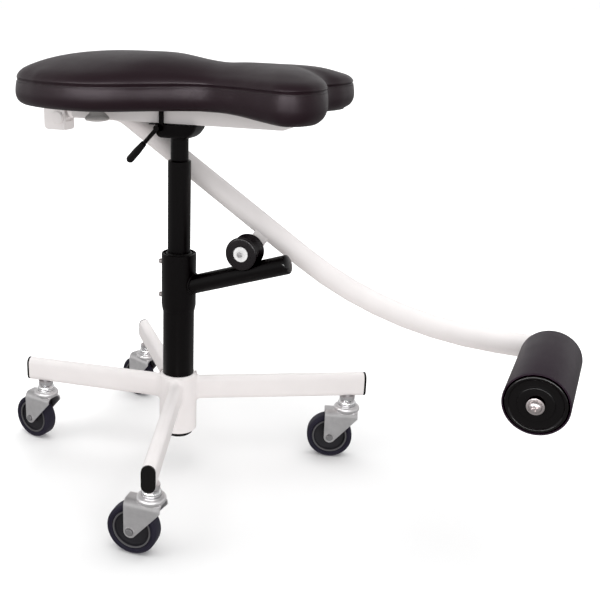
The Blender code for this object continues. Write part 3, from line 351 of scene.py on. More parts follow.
class CushionSettings(PropertyGroup):
    colour: colour_setting("Vinyl colour", "Colour of the cushion's cover", (0.0130, 0.0068, 0.0090))
    grain: length_setting("Grain size", "Width of one grain of the cover", 0.0014)
    pitch: length_setting("Mesh pitch", "Width of the cover's faces along the outline", 0.0050)
    swell: length_setting("Swell", "Furthest that the filling pushes the cover out", 0.0035)
    crease: length_setting("Seam depth", "How deep the sewn seam sinks", 0.0022)
    lip: length_setting("Seam lip", "How far the cover rolls out beside the seam", 0.0008)
    stitch: length_setting("Stitch pitch", "Distance from one stitch to the next", 0.0042)
    thread: length_setting("Thread width", "Width of the sewing thread", 0.0006)


class PaintSettings(PropertyGroup):
    white: colour_setting("White coat", "Colour of the white powder coat", (0.89, 0.853, 0.846))
    black: colour_setting("Black coat", "Colour of the black powder coat", (0.0055, 0.0048, 0.0050))
    peel: length_setting("Peel size", "Width of the powder coat's ripples", 0.0016)
    bead: length_setting("Weld bead", "Radius of a weld bead", 0.0022)
    arm_weld: length_setting("Arm weld", "Radius of the hollow welds between arms and hub", 0.0075)


class CastorSettings(PropertyGroup):
    tyre: colour_setting("Tyre colour", "Colour of the tyres", (0.025, 0.023, 0.035))
    # The rim lip's colour is lighter than the core's: a painted highlight along the wheel's rim edge.
    lip: colour_setting("Rim lip", "Colour of the wheel's raised rim", (0.105, 0.103, 0.108))
    core: colour_setting("Core colour", "Colour of the wheel cores", (0.030, 0.029, 0.033))
    bright: colour_setting("Bright plating", "Colour of the swivels' bright rings", (0.88, 0.88, 0.90))
    zinc: colour_setting("Zinc colour", "Colour of the plated forks", (0.80, 0.785, 0.79))
    edge: length_setting("Fork edges", "Rounding of the fork's cut edges", 0.0003)


class RollerSettings(PropertyGroup):
    colour: colour_setting("Cover colour", "Colour of the leg roller's cover", (0.0200, 0.0125, 0.0190))
    grain: length_setting("Grain size", "Width of one grain of the cover", 0.0012)
    rounding: length_setting("Rounding", "Radius of the padding at the roller's ends", 0.0060)
    turns: IntProperty(name="Sides", description="Faces round the roller", default=96)
    cap: length_setting("End cap", "Radius of the end cap", 0.0366)
    boss: length_setting("Cap middle", "Radius of the raised middle of the end cap", 0.0215)
    head: length_setting("Bolt head", "Radius of the bolt's domed head", 0.0078)
    head_height: length_setting("Bolt head height", "Height of the bolt's domed head", 0.0050)


class StudioSettings(PropertyGroup):
    floor: colour_setting("Floor colour", "Colour of the floor", (0.95, 0.95, 0.95))
    ambient: plain_setting("Ambient", "Strength of the light from the walls", 0.72)
    ceiling: plain_setting("Ceiling", "Brightness of the ceiling against the walls", 0.34)
    under: plain_setting("Under", "Brightness of the walls below the floor's level", 0.34)
    exposure: plain_setting("Exposure", "Exposure of the picture, in stops", 0.50)
    blacks: plain_setting("Black level", "Brightness that shows as black", 0.004)
    glow: plain_setting("Floor glow", "Brightness added to the floor far from the lifter", 0.62)
    overhead: power_setting("Overhead", "Power of the soft light above", 56.0)
    fill: power_setting("Fill", "Power of each soft light in front", 13.0)
    bounce: power_setting("Bounce", "Power of the light that the floor sends back up", 27.0)
    shade: colour_setting("Bounce colour", "Tint of the light sent back up", (1.0, 0.93, 0.91))
    strip: power_setting("Strip", "Power of the long light that draws the sheen on the black parts", 71.0)


class Value:
    """An output socket. Arithmetic on it adds Math nodes."""

    def __init__(self, shader, socket):
        self.shader = shader
        self.socket = socket

    def math(self, operation, first, second):
        return self.shader.add("ShaderNodeMath", {"operation": operation}, {0: first, 1: second})[0]

    def __add__(self, other):
        return self.math("ADD", self, other)

    def __sub__(self, other):
        return self.math("SUBTRACT", self, other)

    def __rsub__(self, other):
        return self.math("SUBTRACT", other, self)

    def __mul__(self, other):
        return self.math("MULTIPLY", self, other)

    __radd__ = __add__
    __rmul__ = __mul__


class Outputs:
    """A node's output sockets by name or number, each wrapped as a Value."""

    def __init__(self, shader, node):
        self.shader = shader
        self.node = node

    def __getitem__(self, key):
        return Value(self.shader, self.node.outputs[key])


class Shader:
    """The nodes of one material or world."""

    def __init__(self, name, kind="materials"):
        self.data = getattr(bpy.data, kind).new(name)
        self.data.use_nodes = True
        self.tree = self.data.node_tree
        self.tree.nodes.clear()

    def add(self, kind, settings=None, sockets=None):
        """New node: its settings come first, then the values or links of its input sockets."""
        node = self.tree.nodes.new(kind)
        for key, value in (settings or {}).items():
            if key == "stops":
                set_stops(node, value)
            else:
                setattr(node, key, value)
        for key, value in (sockets or {}).items():
            if isinstance(value, Value):
                self.tree.links.new(value.socket, node.inputs[key])
            else:
                node.inputs[key].default_value = value
        return Outputs(self, node)

    def place(self):
        return self.add("ShaderNodeTexCoord")["Object"]

    def noise(self, size, detail=2.0, rough=0.5):
        """Soft noise with features of the given size, from 0 to 1."""
        sockets = {"Vector": self.place(), "Scale": 1.0 / size, "Detail": detail, "Roughness": rough}
        return self.add("ShaderNodeTexNoise", None, sockets)["Fac"]

    def varied(self, middle, spread, size):
        """Number that drifts to both sides of its middle, in patches of the given size."""
        return middle + spread * (self.noise(size) - 0.5)

    def cells(self, size, feature="DISTANCE_TO_EDGE"):
        return self.add("ShaderNodeTexVoronoi", {"feature": feature},
                        {"Vector": self.place(), "Scale": 1.0 / size})["Distance"]

    def ramp(self, value, stops):
        return self.add("ShaderNodeValToRGB", {"stops": stops}, {"Fac": value})["Color"]

    def blend(self, factor, first, second):
        """Colour between two colours."""
        sockets = {0: factor, 6: rgba(first), 7: rgba(second)}
        return self.add("ShaderNodeMix", {"data_type": "RGBA"}, sockets)[2]

    def shaded(self, factor, colour, low, high):
        """Colour that goes from one multiple of itself to another."""
        return self.blend(factor, scaled(colour, low), scaled(colour, high))

    def bump(self, height, strength, distance):
        return self.add("ShaderNodeBump", None, {"Height": height, "Strength": strength,
                                                 "Distance": distance})["Normal"]

    def finish(self, sockets):
        """Principled shader on the surface output."""
        body = self.add("ShaderNodeBsdfPrincipled", None, sockets)
        self.add("ShaderNodeOutputMaterial", None, {"Surface": body["BSDF"]})
        return self.data


def rgba(colour):
    if isinstance(colour, Value):
        return colour
    return (*colour, 1.0)


def grey(level):
    return (level, level, level)


def scaled(colour, factor):
    return tuple(min(1.0, c * factor) for c in colour)


def set_stops(node, stops):
    """Ramp stops given as (position, colour)."""
    elements = node.color_ramp.elements
    while len(elements) < len(stops):
        elements.new(0.5)
    for element, (position, colour) in zip(elements, stops):
        element.position = position
        element.color = rgba(colour)


def powder_coat(name, colour, peel, rough, specular):
    """Baked powder paint: a fine ripple, slightly cloudy gloss."""
    s = Shader(name)
    ripple = s.noise(peel, 1.0) + 0.35 * s.noise(peel * 0.35, 1.0)
    return s.finish({
        "Base Color": s.shaded(s.noise(0.050, 3.0), colour, 0.93, 1.05),
        "Roughness": s.varied(rough, 0.10, 0.018),
        "Specular IOR Level": specular,
        "Normal": s.bump(ripple, 0.10, 0.0002),
    })


def vinyl(name, colour, grain, rough, specular):
    """Upholstery vinyl: pebbled grain with darker pores and a soft sheen."""
    s = Shader(name)
    edges = s.cells(grain)
    pebble = s.ramp(edges, [(0.0, grey(0.0)), (0.22, grey(1.0))])
    height = 0.8 * s.add("ShaderNodeRGBToBW", None, {"Color": pebble})["Val"] + 0.3 * s.noise(grain * 0.3)
    tint = s.shaded(s.noise(0.030), colour, 0.85, 1.25)
    return s.finish({
        "Base Color": s.blend(edges, scaled(colour, 0.6), tint),
        "Roughness": s.varied(rough, 0.08, 0.022),
        "Specular IOR Level": specular,
        "Specular Tint": rgba(VINYL_TINT),
        "Normal": s.bump(height, 0.22, 0.0002),
    })


def moulded(name, colour, rough, texture, strength, specular):
    """Moulded plastic or rubber with a fine even texture."""
    s = Shader(name)
    return s.finish({
        "Base Color": s.shaded(s.noise(0.015, 3.0), colour, 0.88, 1.12),
        "Roughness": s.varied(rough, 0.10, 0.008),
        "Specular IOR Level": specular,
        "Normal": s.bump(s.noise(texture, 1.0), strength, 0.0001),
    })


def moulding(name):
    """Moulded finish of the table, made when it is first asked for."""
    return bpy.data.materials.get(name) or moulded(name, *MOULDINGS[name])


def plated(name, colour, rough, cloud_size=0.012):
    """Bright zinc or steel: cloudy reflection, faint pressing marks."""
    s = Shader(name)
    cloud = s.noise(cloud_size, 4.0, 0.6)
    return s.finish({
        "Base Color": s.shaded(cloud, colour, 0.82, 1.14),
        "Metallic": 1.0,
        "Roughness": rough + 0.20 * (cloud - 0.5) + 0.06 * s.cells(0.004, "F1"),
        "Normal": s.bump(s.noise(0.0022, 3.0), 0.08, 0.0002),
    })


def plywood(name, colour):
    """Painted board with the grain of its face veneer."""
    s = Shader(name)
    stretched = s.add("ShaderNodeMapping", None, {"Vector": s.place(), "Scale": (1.0, 12.0, 12.0)})["Vector"]
    grain = s.add("ShaderNodeTexNoise", None, {"Vector": stretched, "Scale": 60.0, "Detail": 4.0})["Fac"]
    return s.finish({
        "Base Color": s.shaded(grain, colour, 0.6, 1.5),
        "Roughness": 0.6 + 0.2 * grain,
        "Normal": s.bump(grain, 0.3, 0.0003),
    })


def place_mesh(name, bm):
    """Object made from a bmesh, which is freed."""
    mesh = bpy.data.meshes.new(name)
    bm.to_mesh(mesh)
    bm.free()
    ob = bpy.data.objects.new(name, mesh)
    bpy.context.scene.collection.objects.link(ob)
    return ob


def discard(ob):
    mesh = ob.data
    bpy.data.objects.remove(ob, do_unlink=True)
    bpy.data.meshes.remove(mesh)


def make_piece(name, bm, material, body, matrix=None, replaced=None, smooth=True):
    """Piece from a bmesh that takes a slot's finish, rides on a body and may stand for a replaced node."""
    if matrix:
        bmesh.ops.transform(bm, verts=bm.verts, matrix=matrix)
    ob = place_mesh(name, bm)
    if smooth:
        ob.data.shade_smooth()
        ob.data.set_sharp_from_angle(angle=SHARP)
    ob.data.materials.append(material)
    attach(ob, body)
    if replaced:
        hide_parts(replaced)
    return ob


def rounding(ob, width, angle=ROUNDED):
    """Rounds an object's sharp edges so that they catch the light."""
    bevel = ob.modifiers.new("edges", "BEVEL")
    bevel.width = width
    bevel.segments = 2
    bevel.limit_method = "ANGLE"
    bevel.angle_limit = angle


def edge_finish():
    """Node group for carried-over solids: drops their stored normals and shades curved stretches smoothly."""
    found = bpy.data.node_groups.get("edge_finish")
    if found:
        return found
    group = bpy.data.node_groups.new("edge_finish", "GeometryNodeTree")
    for direction in ("INPUT", "OUTPUT"):
        group.interface.new_socket("Geometry", in_out=direction, socket_type="NodeSocketGeometry")
    kinds = ("NodeGroupInput", "GeometryNodeRemoveAttribute", "GeometryNodeSetShadeSmooth",
             "GeometryNodeSetShadeSmooth", "GeometryNodeInputMeshEdgeAngle", "FunctionNodeCompare",
             "NodeGroupOutput")
    start, strip, smooth, sharpen, angle, steep, end = (group.nodes.new(kind) for kind in kinds)
    strip.inputs["Name"].default_value = "custom_normal"
    smooth.inputs["Shade Smooth"].default_value = True
    sharpen.domain = "EDGE"
    sharpen.inputs["Shade Smooth"].default_value = False
    steep.data_type = "FLOAT"
    steep.operation = "GREATER_THAN"
    steep.inputs["B"].default_value = CARRIED_SHARP
    for source, target in ((start.outputs[0], strip.inputs["Geometry"]),
                           (strip.outputs["Geometry"], smooth.inputs["Geometry"]),
                           (smooth.outputs["Geometry"], sharpen.inputs["Geometry"]),
                           (angle.outputs["Unsigned Angle"], steep.inputs["A"]),
                           (steep.outputs["Result"], sharpen.inputs["Selection"]),
                           (sharpen.outputs["Geometry"], end.inputs[0])):
        group.links.new(source, target)
    return group


def coat(node, material):
    """Gives a carried-over node its finish, and its curved faces a smooth reflection."""
    ob = frame["nodes"][node]
    for slot in ob.material_slots:
        slot.material = material
    ob.modifiers.new("weld", "WELD").merge_threshold = WELD_GAP
    if node in EDGE_ROUNDING:
        rounding(ob, EDGE_ROUNDING[node], SHARP)
    ob.modifiers.new("shading", "NODES").node_group = edge_finish()
    ob.modifiers.new("normals", "WEIGHTED_NORMAL").keep_sharp = True


def finish_white(scene):
    paint = scene.lifter_paint
    material = powder_coat("white_powder_coat", paint.white, paint.peel, rough=0.36, specular=0.45)
    for node in WHITE_NODES:
        coat(node, material)


def finish_black(scene):
    paint = scene.lifter_paint
    material = powder_coat("black_powder_coat", paint.black, paint.peel, rough=0.36, specular=0.22)
    for node in BLACK_NODES:
        coat(node, material)


def finish_plastics(scene):
    for node in PLASTIC_NODES:
        coat(node, moulding("black_moulding"))
    coat("leg_roller_core", moulding("glossy_moulding"))
    coat("guide_hub", moulding("white_nylon_moulding"))
    coat("pad_board", plywood("board_paint", BOARD_PAINT))


def finish_metals(scene):
    steel = plated("bolt_steel_finish", BOLT_STEEL, rough=0.26)
    for node in STEEL_NODES:
        coat(node, steel)
    bright = plated("bright_zinc", BRIGHT_ZINC, rough=0.28)
    coat("guide_axle", bright)
    dark = plated("dark_zinc", DARK_ZINC, rough=0.34)
    for name in CASTORS:
        coat(f"castor_stem_{name}", bright)
        coat(f"wheel_bolt_{name}", dark)


def arc(cx, cz, radius, start, end, steps):
    """Points of an arc between two angles in degrees."""
    pts = []
    for i in range(steps + 1):
        a = math.radians(start + (end - start) * i / steps)
        pts.append((cx + radius * math.cos(a), cz + radius * math.sin(a)))
    return pts


def flipped(profile):
    """Profile mirrored to the other side of the middle plane, in reverse."""
    return [(r, -z) for r, z in reversed(profile)]


def lathe(profile, turns):
    """Turned ring about Z from a closed profile of (radius, height) points."""
    bm = bmesh.new()
    verts = [bm.verts.new((r, 0.0, z)) for r, z in profile]
    edges = [bm.edges.new(pair) for pair in zip(verts, verts[1:] + verts[:1])]
    bmesh.ops.spin(bm, geom=verts + edges, cent=(0, 0, 0), axis=(0, 0, 1), angle=math.tau, steps=turns,
                   use_merge=True)
    bmesh.ops.remove_doubles(bm, verts=bm.verts, dist=1e-6)
    bmesh.ops.recalc_face_normals(bm, faces=bm.faces)
    return bm


def bridge(bm, rings, closed=False):
    """Faces from each ring of vertices to the next; a row that isn't closed gets its two ends filled."""
    for first, second in zip(rings, rings[1:] + rings[:1] if closed else rings[1:]):
        for i in range(len(first)):
            j = (i + 1) % len(first)
            bm.faces.new((first[i], first[j], second[j], second[i]))
    if not closed:
        bm.faces.new(rings[0])
        bm.faces.new(rings[-1])


def circle(bm, centre, across, up, radius, sides):
    """Vertices round a centre, in the plane of two directions."""
    angles = (math.tau * i / sides for i in range(sides))
    return [bm.verts.new(centre + radius * (math.cos(a) * across + math.sin(a) * up)) for a in angles]


def slab(outline, half):
    """Solid of an outline in XZ, as wide as half to each side of Y = 0."""
    bm = bmesh.new()
    bridge(bm, [[bm.verts.new((x, y, z)) for x, z in outline] for y in (-half, half)])
    bmesh.ops.recalc_face_normals(bm, faces=bm.faces)
    return bm


def block(low, high):
    """Box between two corners."""
    bm = bmesh.new()
    bmesh.ops.create_cube(bm, size=1.0)
    low, high = Vector(low), Vector(high)
    place = Matrix.Translation((low + high) / 2) @ Matrix.Diagonal((*(high - low), 1.0))
    bmesh.ops.transform(bm, verts=bm.verts, matrix=place)
    return bm


def carve(bm, tool):
    """One solid less another."""
    solid = place_mesh("solid", bm)
    cutter = place_mesh("cutter", tool)
    boolean = solid.modifiers.new("carve", "BOOLEAN")
    boolean.object = cutter
    boolean.operation = "DIFFERENCE"
    boolean.solver = "EXACT"
    shown = solid.evaluated_get(bpy.context.evaluated_depsgraph_get())
    result = bmesh.new()
    result.from_mesh(shown.data)
    discard(solid)
    discard(cutter)
    return result


def merge(bm, other, matrix=None):
    """Adds another bmesh's faces, moved by a matrix."""
    if matrix:
        bmesh.ops.transform(other, verts=other.verts, matrix=matrix)
    mesh = bpy.data.meshes.new("merge")
    other.to_mesh(mesh)
    other.free()
    bm.from_mesh(mesh)
    bpy.data.meshes.remove(mesh)
    return bm


def on_y(x, y, z):
    """Matrix that stands a lathe's foot at a place, with its axis towards the front."""
    return Matrix.Translation((x, y, z)) @ Matrix.Rotation(math.pi / 2, 4, "X")


def smooth_closed(knots, steps):
    """Catmull-Rom curve through closed knots."""
    pts = []
    count = len(knots)
    for i in range(count):
        p0, p1, p2, p3 = (knots[(i + k) % count] for k in (-1, 0, 1, 2))
        for s in range(steps):
            t = s / steps
            pts.append(0.5 * (2 * p1 + (p2 - p0) * t + (2 * p0 - 5 * p1 + 4 * p2 - p3) * t * t
                              + (3 * p1 - p0 - 3 * p2 + p3) * t ** 3))
    return pts


def evenly(points, pitch):
    """Closed line sampled again at an even pitch."""
    loop = points + points[:1]
    lengths = [0.0]
    for a, b in zip(loop, loop[1:]):
        lengths.append(lengths[-1] + (b - a).length)
    count = max(8, round(lengths[-1] / pitch))
    made = []
    i = 0
    for k in range(count):
        goal = lengths[-1] * k / count
        while lengths[i + 1] < goal:
            i += 1
        share = (goal - lengths[i]) / (lengths[i + 1] - lengths[i])
        made.append(loop[i].lerp(loop[i + 1], share))
    return made


def outwards(plan):
    """Unit normals of a closed plan line."""
    made = []
    for i, behind in enumerate([plan[-1]] + plan[:-1]):
        t = (plan[(i + 1) % len(plan)] - behind).normalized()
        made.append(Vector((-t.y, t.x)))
    middle = sum(plan, Vector((0.0, 0.0))) / len(plan)
    if sum((p - middle).dot(n) for p, n in zip(plan, made)) < 0:
        made = [-n for n in made]
    return made


def ease(value, start, end):
    """Smooth step from 0 at start to 1 at end."""
    t = min(max((value - start) / (end - start), 0.0), 1.0)
    return t * t * (3 - 2 * t)


def cushion_plan(pitch):
    """The cushion's outline as evenly spaced points."""
    knots = [Vector(k) for k in CUSHION_OUTLINE]
    knots += [Vector((x, -y)) for x, y in reversed(CUSHION_OUTLINE[1:-1])]
    return evenly(smooth_closed(knots, OUTLINE_STEPS), pitch)


def lobe_shares(p):
    """How much of the near and of the far lobe's own shape a plan point takes."""
    along = ease(p.x, *LOBE_X)
    return along * ease(-p.y, 0.0, LOBE_SIDE), along * ease(p.y, 0.0, LOBE_SIDE)


def spine_point(p):
    """Nearest point of the middle line, in plan."""
    return Vector((min(max(p.x, SPINE_X[0]), SPINE_X[1]), 0.0))


def band_inset(s):
    """How far the band stands inside the outline at a share of its height."""
    if s < BAND_FULL:
        return BAND_TUCK * (1.0 - s / BAND_FULL) ** 2
    return SEAM_INSET * ((s - BAND_FULL) / (1.0 - BAND_FULL)) ** 2


def crown_point(p, t):
    """Point of the crown at a share of the way from a seam point to the middle line."""
    core = spine_point(p)
    power = EDGE_POWER + (CROWN_POWER - EDGE_POWER) * min(t / CROWN_START, 1.0)
    power *= 1.0 - END_FULLER * (1.0 - ease(p.x, *END_FULLER_X))
    crest = CREST_Z - CREST_DROP * ease(core.x, *CREST_DROP_X)
    sunk = FAR_LOBE_LIFT * lobe_shares(p)[1] * (1.0 - t)
    height = SEAM_Z + (crest - SEAM_Z - sunk) * (1 - (1 - t) ** 2) ** power
    return Vector((*p.xy.lerp(core, t), height))


def cushion_rows(plan):
    """Closed rows of points from the recess under the cushion, up the band and over the crown.

    Returns the rows and the number of the seam's row. A row's points are (x, y, z) from the column's axis.
    """
    normals = outwards(plan)
    low = CUSHION_LOW.z

    def ring(inset, z):
        row = []
        for p, n in zip(plan, normals):
            near, far = lobe_shares(p)
            reach = NEAR_LOBE_REACH * near - FAR_LOBE_LIFT * far
            hang = (SEAM_Z - z) / BAND_HEIGHT * (NEAR_LOBE_SAG * near - FAR_LOBE_LIFT * far)
            row.append(Vector((*(p - n * (inset - reach)), z - hang)))
        return row

    recess = low + BOARD_THICKNESS
    edge = [Vector((*(p - n * HEM_INSET), recess)) for p, n in zip(plan, normals)]
    rows = [[Vector((*p.xy.lerp(spine_point(p), t), recess)) for p in edge] for t in RECESS_SHARES]
    rows += [edge, ring(HEM_INSET, low), ring(BAND_TUCK + HEM_BEND, low)]
    for s in (i / BAND_STEPS for i in range(1, BAND_STEPS)):
        rows.append(ring(band_inset(s), low + BAND_HEIGHT * s))
    rows += [ring(SEAM_INSET, SEAM_Z - SEAM_LIP * 2), ring(SEAM_INSET, SEAM_Z - SEAM_LIP)]
    seam = len(rows)
    rows.append(ring(SEAM_INSET, SEAM_Z))
    rows += [[crown_point(p, t) for p in rows[seam]] for t in CROWN_SHARES]
    return rows, seam


def skin(rows):
    """Bmesh through the rows, with points that fall together shared, and the points' vertex numbers."""
    bm = bmesh.new()
    known = {}
    numbers = []
    for row in rows:
        line = []
        for p in row:
            key = tuple(round(c, 6) for c in p)
            if key not in known:
                known[key] = len(known)
                bm.verts.new(p)
            line.append(known[key])
        numbers.append(line)
    bm.verts.ensure_lookup_table()
    for first, second in zip(numbers, numbers[1:]):
        for i in range(len(first)):
            j = (i + 1) % len(first)
            corners = list(dict.fromkeys((first[i], first[j], second[j], second[i])))
            if len(corners) > 2:
                bm.faces.new([bm.verts[k] for k in corners])
    bmesh.ops.recalc_face_normals(bm, faces=bm.faces)
    return bm, numbers


def inflate(bm, held):
    """Positions after the filling presses the cover out, with the held vertices sewn in place."""
    ob = place_mesh("filling", bm.copy())
    sewn = ob.vertex_groups.new(name="sewn")
    sewn.add(sorted(held), 1.0, "REPLACE")
    cloth = ob.modifiers.new("cloth", "CLOTH")
    for key, value in COVER_CLOTH.items():
        setattr(cloth.settings, key, value)
    cloth.settings.effector_weights.gravity = 0.0
    cloth.point_cache.frame_start = 1
    cloth.point_cache.frame_end = FILLING_FRAMES
    for number in range(1, FILLING_FRAMES + 1):
        bpy.context.scene.frame_set(number)
    shown = ob.evaluated_get(bpy.context.evaluated_depsgraph_get())
    moved = [v.co.copy() for v in shown.data.vertices]
    bpy.context.scene.frame_set(1)
    discard(ob)
    return moved


def eased_out(bm, pushes, held):
    """The filling's pushes, each drawn towards its neighbours', so that no crease is left between them."""
    bm.verts.ensure_lookup_table()
    near = [[e.other_vert(v).index for e in v.link_edges] for v in bm.verts]
    for _ in range(SMOOTHING_PASSES):
        drawn = []
        for i, push in enumerate(pushes):
            around = sum((pushes[j] for j in near[i]), Vector()) / len(near[i])
            drawn.append(push if i in held else push.lerp(around, 0.5))
        pushes = drawn
    return pushes


def filled(bm, held, swell):
    """Positions of the cover's vertices once it is filled; none is pushed further than the swell."""
    rest = [v.co.copy() for v in bm.verts]
    pushes = [b - a for a, b in zip(rest, inflate(bm, held))]
    print("cushion swell, mm:", round(max(push.length for push in pushes) * 1000, 2))
    for push in pushes:
        if push.length > swell:
            push.length = swell
    return [a + push for a, push in zip(rest, eased_out(bm, pushes, held))]


def lower_crown(moved, numbers, seam):
    """Scales the crown down where the filling pushed it over its highest place."""
    crown = max(moved[n].z for n in numbers[-1])
    if crown > CREST_Z:
        ratio = (CREST_Z - SEAM_Z) / (crown - SEAM_Z)
        for n in {n for line in numbers[seam + 2:] for n in line}:
            moved[n].z = SEAM_Z + (moved[n].z - SEAM_Z) * ratio


def unevenness(p):
    """Small ripples of the cover, and puckers that fade with the height from the seam."""
    pucker = noise.noise(Vector((p.x, p.y, 0.0)) * PUCKER[0]) * PUCKER[1]
    return noise.noise(p * RIPPLE[0]) * RIPPLE[1] + pucker * math.exp(-abs(p.z - SEAM_Z) / PUCKER_FADE)


def cushion_shape(settings):
    """Final rows of the cover's points, and the number of the seam's row."""
    rows, seam = cushion_rows(cushion_plan(settings.pitch))
    bm, numbers = skin(rows)
    held = {n for line in numbers[:HEM_ROWS] + numbers[seam - 1:seam + 2] for n in line}
    moved = filled(bm, held, settings.swell)
    bm.verts.ensure_lookup_table()
    for v, p in zip(bm.verts, moved):
        v.co = p
    bm.normal_update()
    normals = [v.normal.copy() for v in bm.verts]
    bm.free()
    lower_crown(moved, numbers, seam)
    shaped = []
    for r, line in enumerate(numbers):
        out = {seam: -settings.crease, seam - 1: settings.lip, seam + 1: settings.lip}.get(r, 0.0)
        row = []
        for n in line:
            push = out + unevenness(moved[n]) if r >= HEM_ROWS else 0.0
            row.append(moved[n] + normals[n] * push)
        shaped.append(row)
    return shaped, seam


def stitch_line(rows, seam, settings):
    """Short threads along the band, just under the seam; each is a bent rod with its ends in the cover."""
    line = [a.lerp(b, STITCH_DROP) for a, b in zip(rows[seam - 2], rows[seam - 1])]
    line = evenly(line, settings.stitch / len(STITCH_LIFTS))
    count = len(line)
    radius = settings.thread / 2
    bm = bmesh.new()
    for start in range(0, count - len(STITCH_LIFTS), len(STITCH_LIFTS)):
        rings = []
        for i, lift in enumerate(STITCH_LIFTS, start):
            along = (line[(i + 1) % count] - line[i - 1]).normalized()
            out = along.cross(UP).normalized()
            if out.dot(line[i] - spine_point(line[i]).to_3d()) < 0:
                out = -out
            up = along.cross(out).normalized()
            rings.append(circle(bm, line[i] + out * radius * lift, out, up, radius, THREAD_SIDES))
        bridge(bm, rings)
    bmesh.ops.recalc_face_normals(bm, faces=bm.faces)
    return bm


def sew_cushion(scene):
    settings = scene.lifter_cushion
    rows, seam = cushion_shape(settings)
    material = vinyl("cushion_vinyl", settings.colour, settings.grain, rough=0.40, specular=0.32)
    place = Matrix.Translation(AXIS)
    cover = make_piece("cushion_cover", skin(rows)[0], material, "pad", place, "pad_cushion")
    smooth = cover.modifiers.new("smooth", "SUBSURF")
    smooth.levels = 1
    smooth.render_levels = 1
    make_piece("cushion_stitches", stitch_line(rows, seam, settings), moulding("sewing_thread"),
               "pad", place)


def pad_roller(scene):
    """Padded cover of the leg roller, its end cap and its bolt, about the roller's own axis."""
    settings = scene.lifter_roller
    low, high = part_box("leg_roller")
    core_low, core_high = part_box("leg_roller_core")
    radius = (high.z - low.z) / 2
    length = high.y - low.y
    bore = (core_high.z - core_low.z) / 2 + CORE_GAP
    bend = settings.rounding
    profile = [(bore, BACK_FLAT)] + arc(bore + BACK_BEND, BACK_BEND, BACK_BEND, 180, 270, 3)
    profile += arc(radius - bend, bend, bend, 270, 360, 8)
    seat = settings.cap + CAP_GAP
    lip = (radius - seat) / 2
    profile += arc(radius - lip, length - lip, lip, 0, 180, 8)
    profile += [(seat, length - CAP_DEPTH), (bore, length - CAP_DEPTH)]
    middle = (low + high) / 2
    material = vinyl("roller_vinyl", settings.colour, settings.grain, rough=0.42, specular=0.14)
    cover = make_piece("roller_cover", lathe(profile, settings.turns), material, "roller",
                       on_y(middle.x, high.y, middle.z), "leg_roller")
    cap_roller(settings, on_y(middle.x, low.y, middle.z))
    bolt_roller(settings, middle)


def cap_roller(settings, place):
    """Moulded end cap set into the cover: a rolled rim, a dished face and a raised middle."""
    outer = settings.cap
    boss = settings.boss
    profile = [(ROLLER_BORE, -CAP_DEPTH), (outer, -CAP_DEPTH)]
    profile += arc(outer - CAP_RIM_R, -CAP_RIM_DROP, CAP_RIM_R, 0, 110, 10)
    profile += [(outer - DISH_FROM_RIM[0], -DISH_FROM_RIM[1]), (boss + DISH_FROM_BOSS[0], -DISH_FROM_BOSS[1])]
    profile += arc(boss - BOSS_INSET, -BOSS_INSET, BOSS_BEND, 0, 90, 5) + [(ROLLER_BORE, BOSS_TOP)]
    make_piece("roller_end_cap", lathe(profile, settings.turns), moulding("glossy_moulding"),
               "roller", place, "leg_roller_cap")


def bolt_roller(settings, middle):
    """Washer and domed cross-recessed head of the roller's bolt, with its shank and nut."""
    low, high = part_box("leg_roller_bolt")
    length = high.y - low.y
    washer = (high.x - low.x) / 2
    shank = ROLLER_BORE - SHANK_GAP
    head = settings.head
    face = length - settings.head_height
    profile = [(0.0, 0.0), (washer * NUT_SHARE, 0.0), (washer * NUT_SHARE, NUT_HEIGHT), (shank, NUT_HEIGHT)]
    profile.append((shank, face + WASHER_EDGE[0][1]))
    profile += [(washer + r, face + z) for r, z in WASHER_EDGE]
    for a in (math.radians(angle) for angle in range(0, 90, 10)):
        profile.append((head * math.cos(a), face + settings.head_height * math.sin(a) ** HEAD_POWER))
    profile.append((0.0, length))
    bm = cross_recess(lathe(profile, turns=56), head, BOLT_RECESS, length)
    make_piece("roller_bolt", bm, bpy.data.materials["bolt_steel_finish"], "roller",
               on_y(middle.x, high.y, middle.z), "leg_roller_bolt")


def cross_recess(bm, radius, recess, top):
    """Solid less a cross of two slots in its top."""
    share, width, depth, turned = recess
    for quarter in (0.0, math.pi / 2):
        tool = bmesh.new()
        bmesh.ops.create_cube(tool, size=1.0)
        place = Matrix.Translation((0.0, 0.0, top)) @ Matrix.Rotation(quarter + turned, 4, "Z")
        place @= Matrix.Diagonal((radius * share, width, depth, 1.0))
        bmesh.ops.transform(tool, verts=tool.verts, matrix=place)
        bm = carve(bm, tool)
    return bm


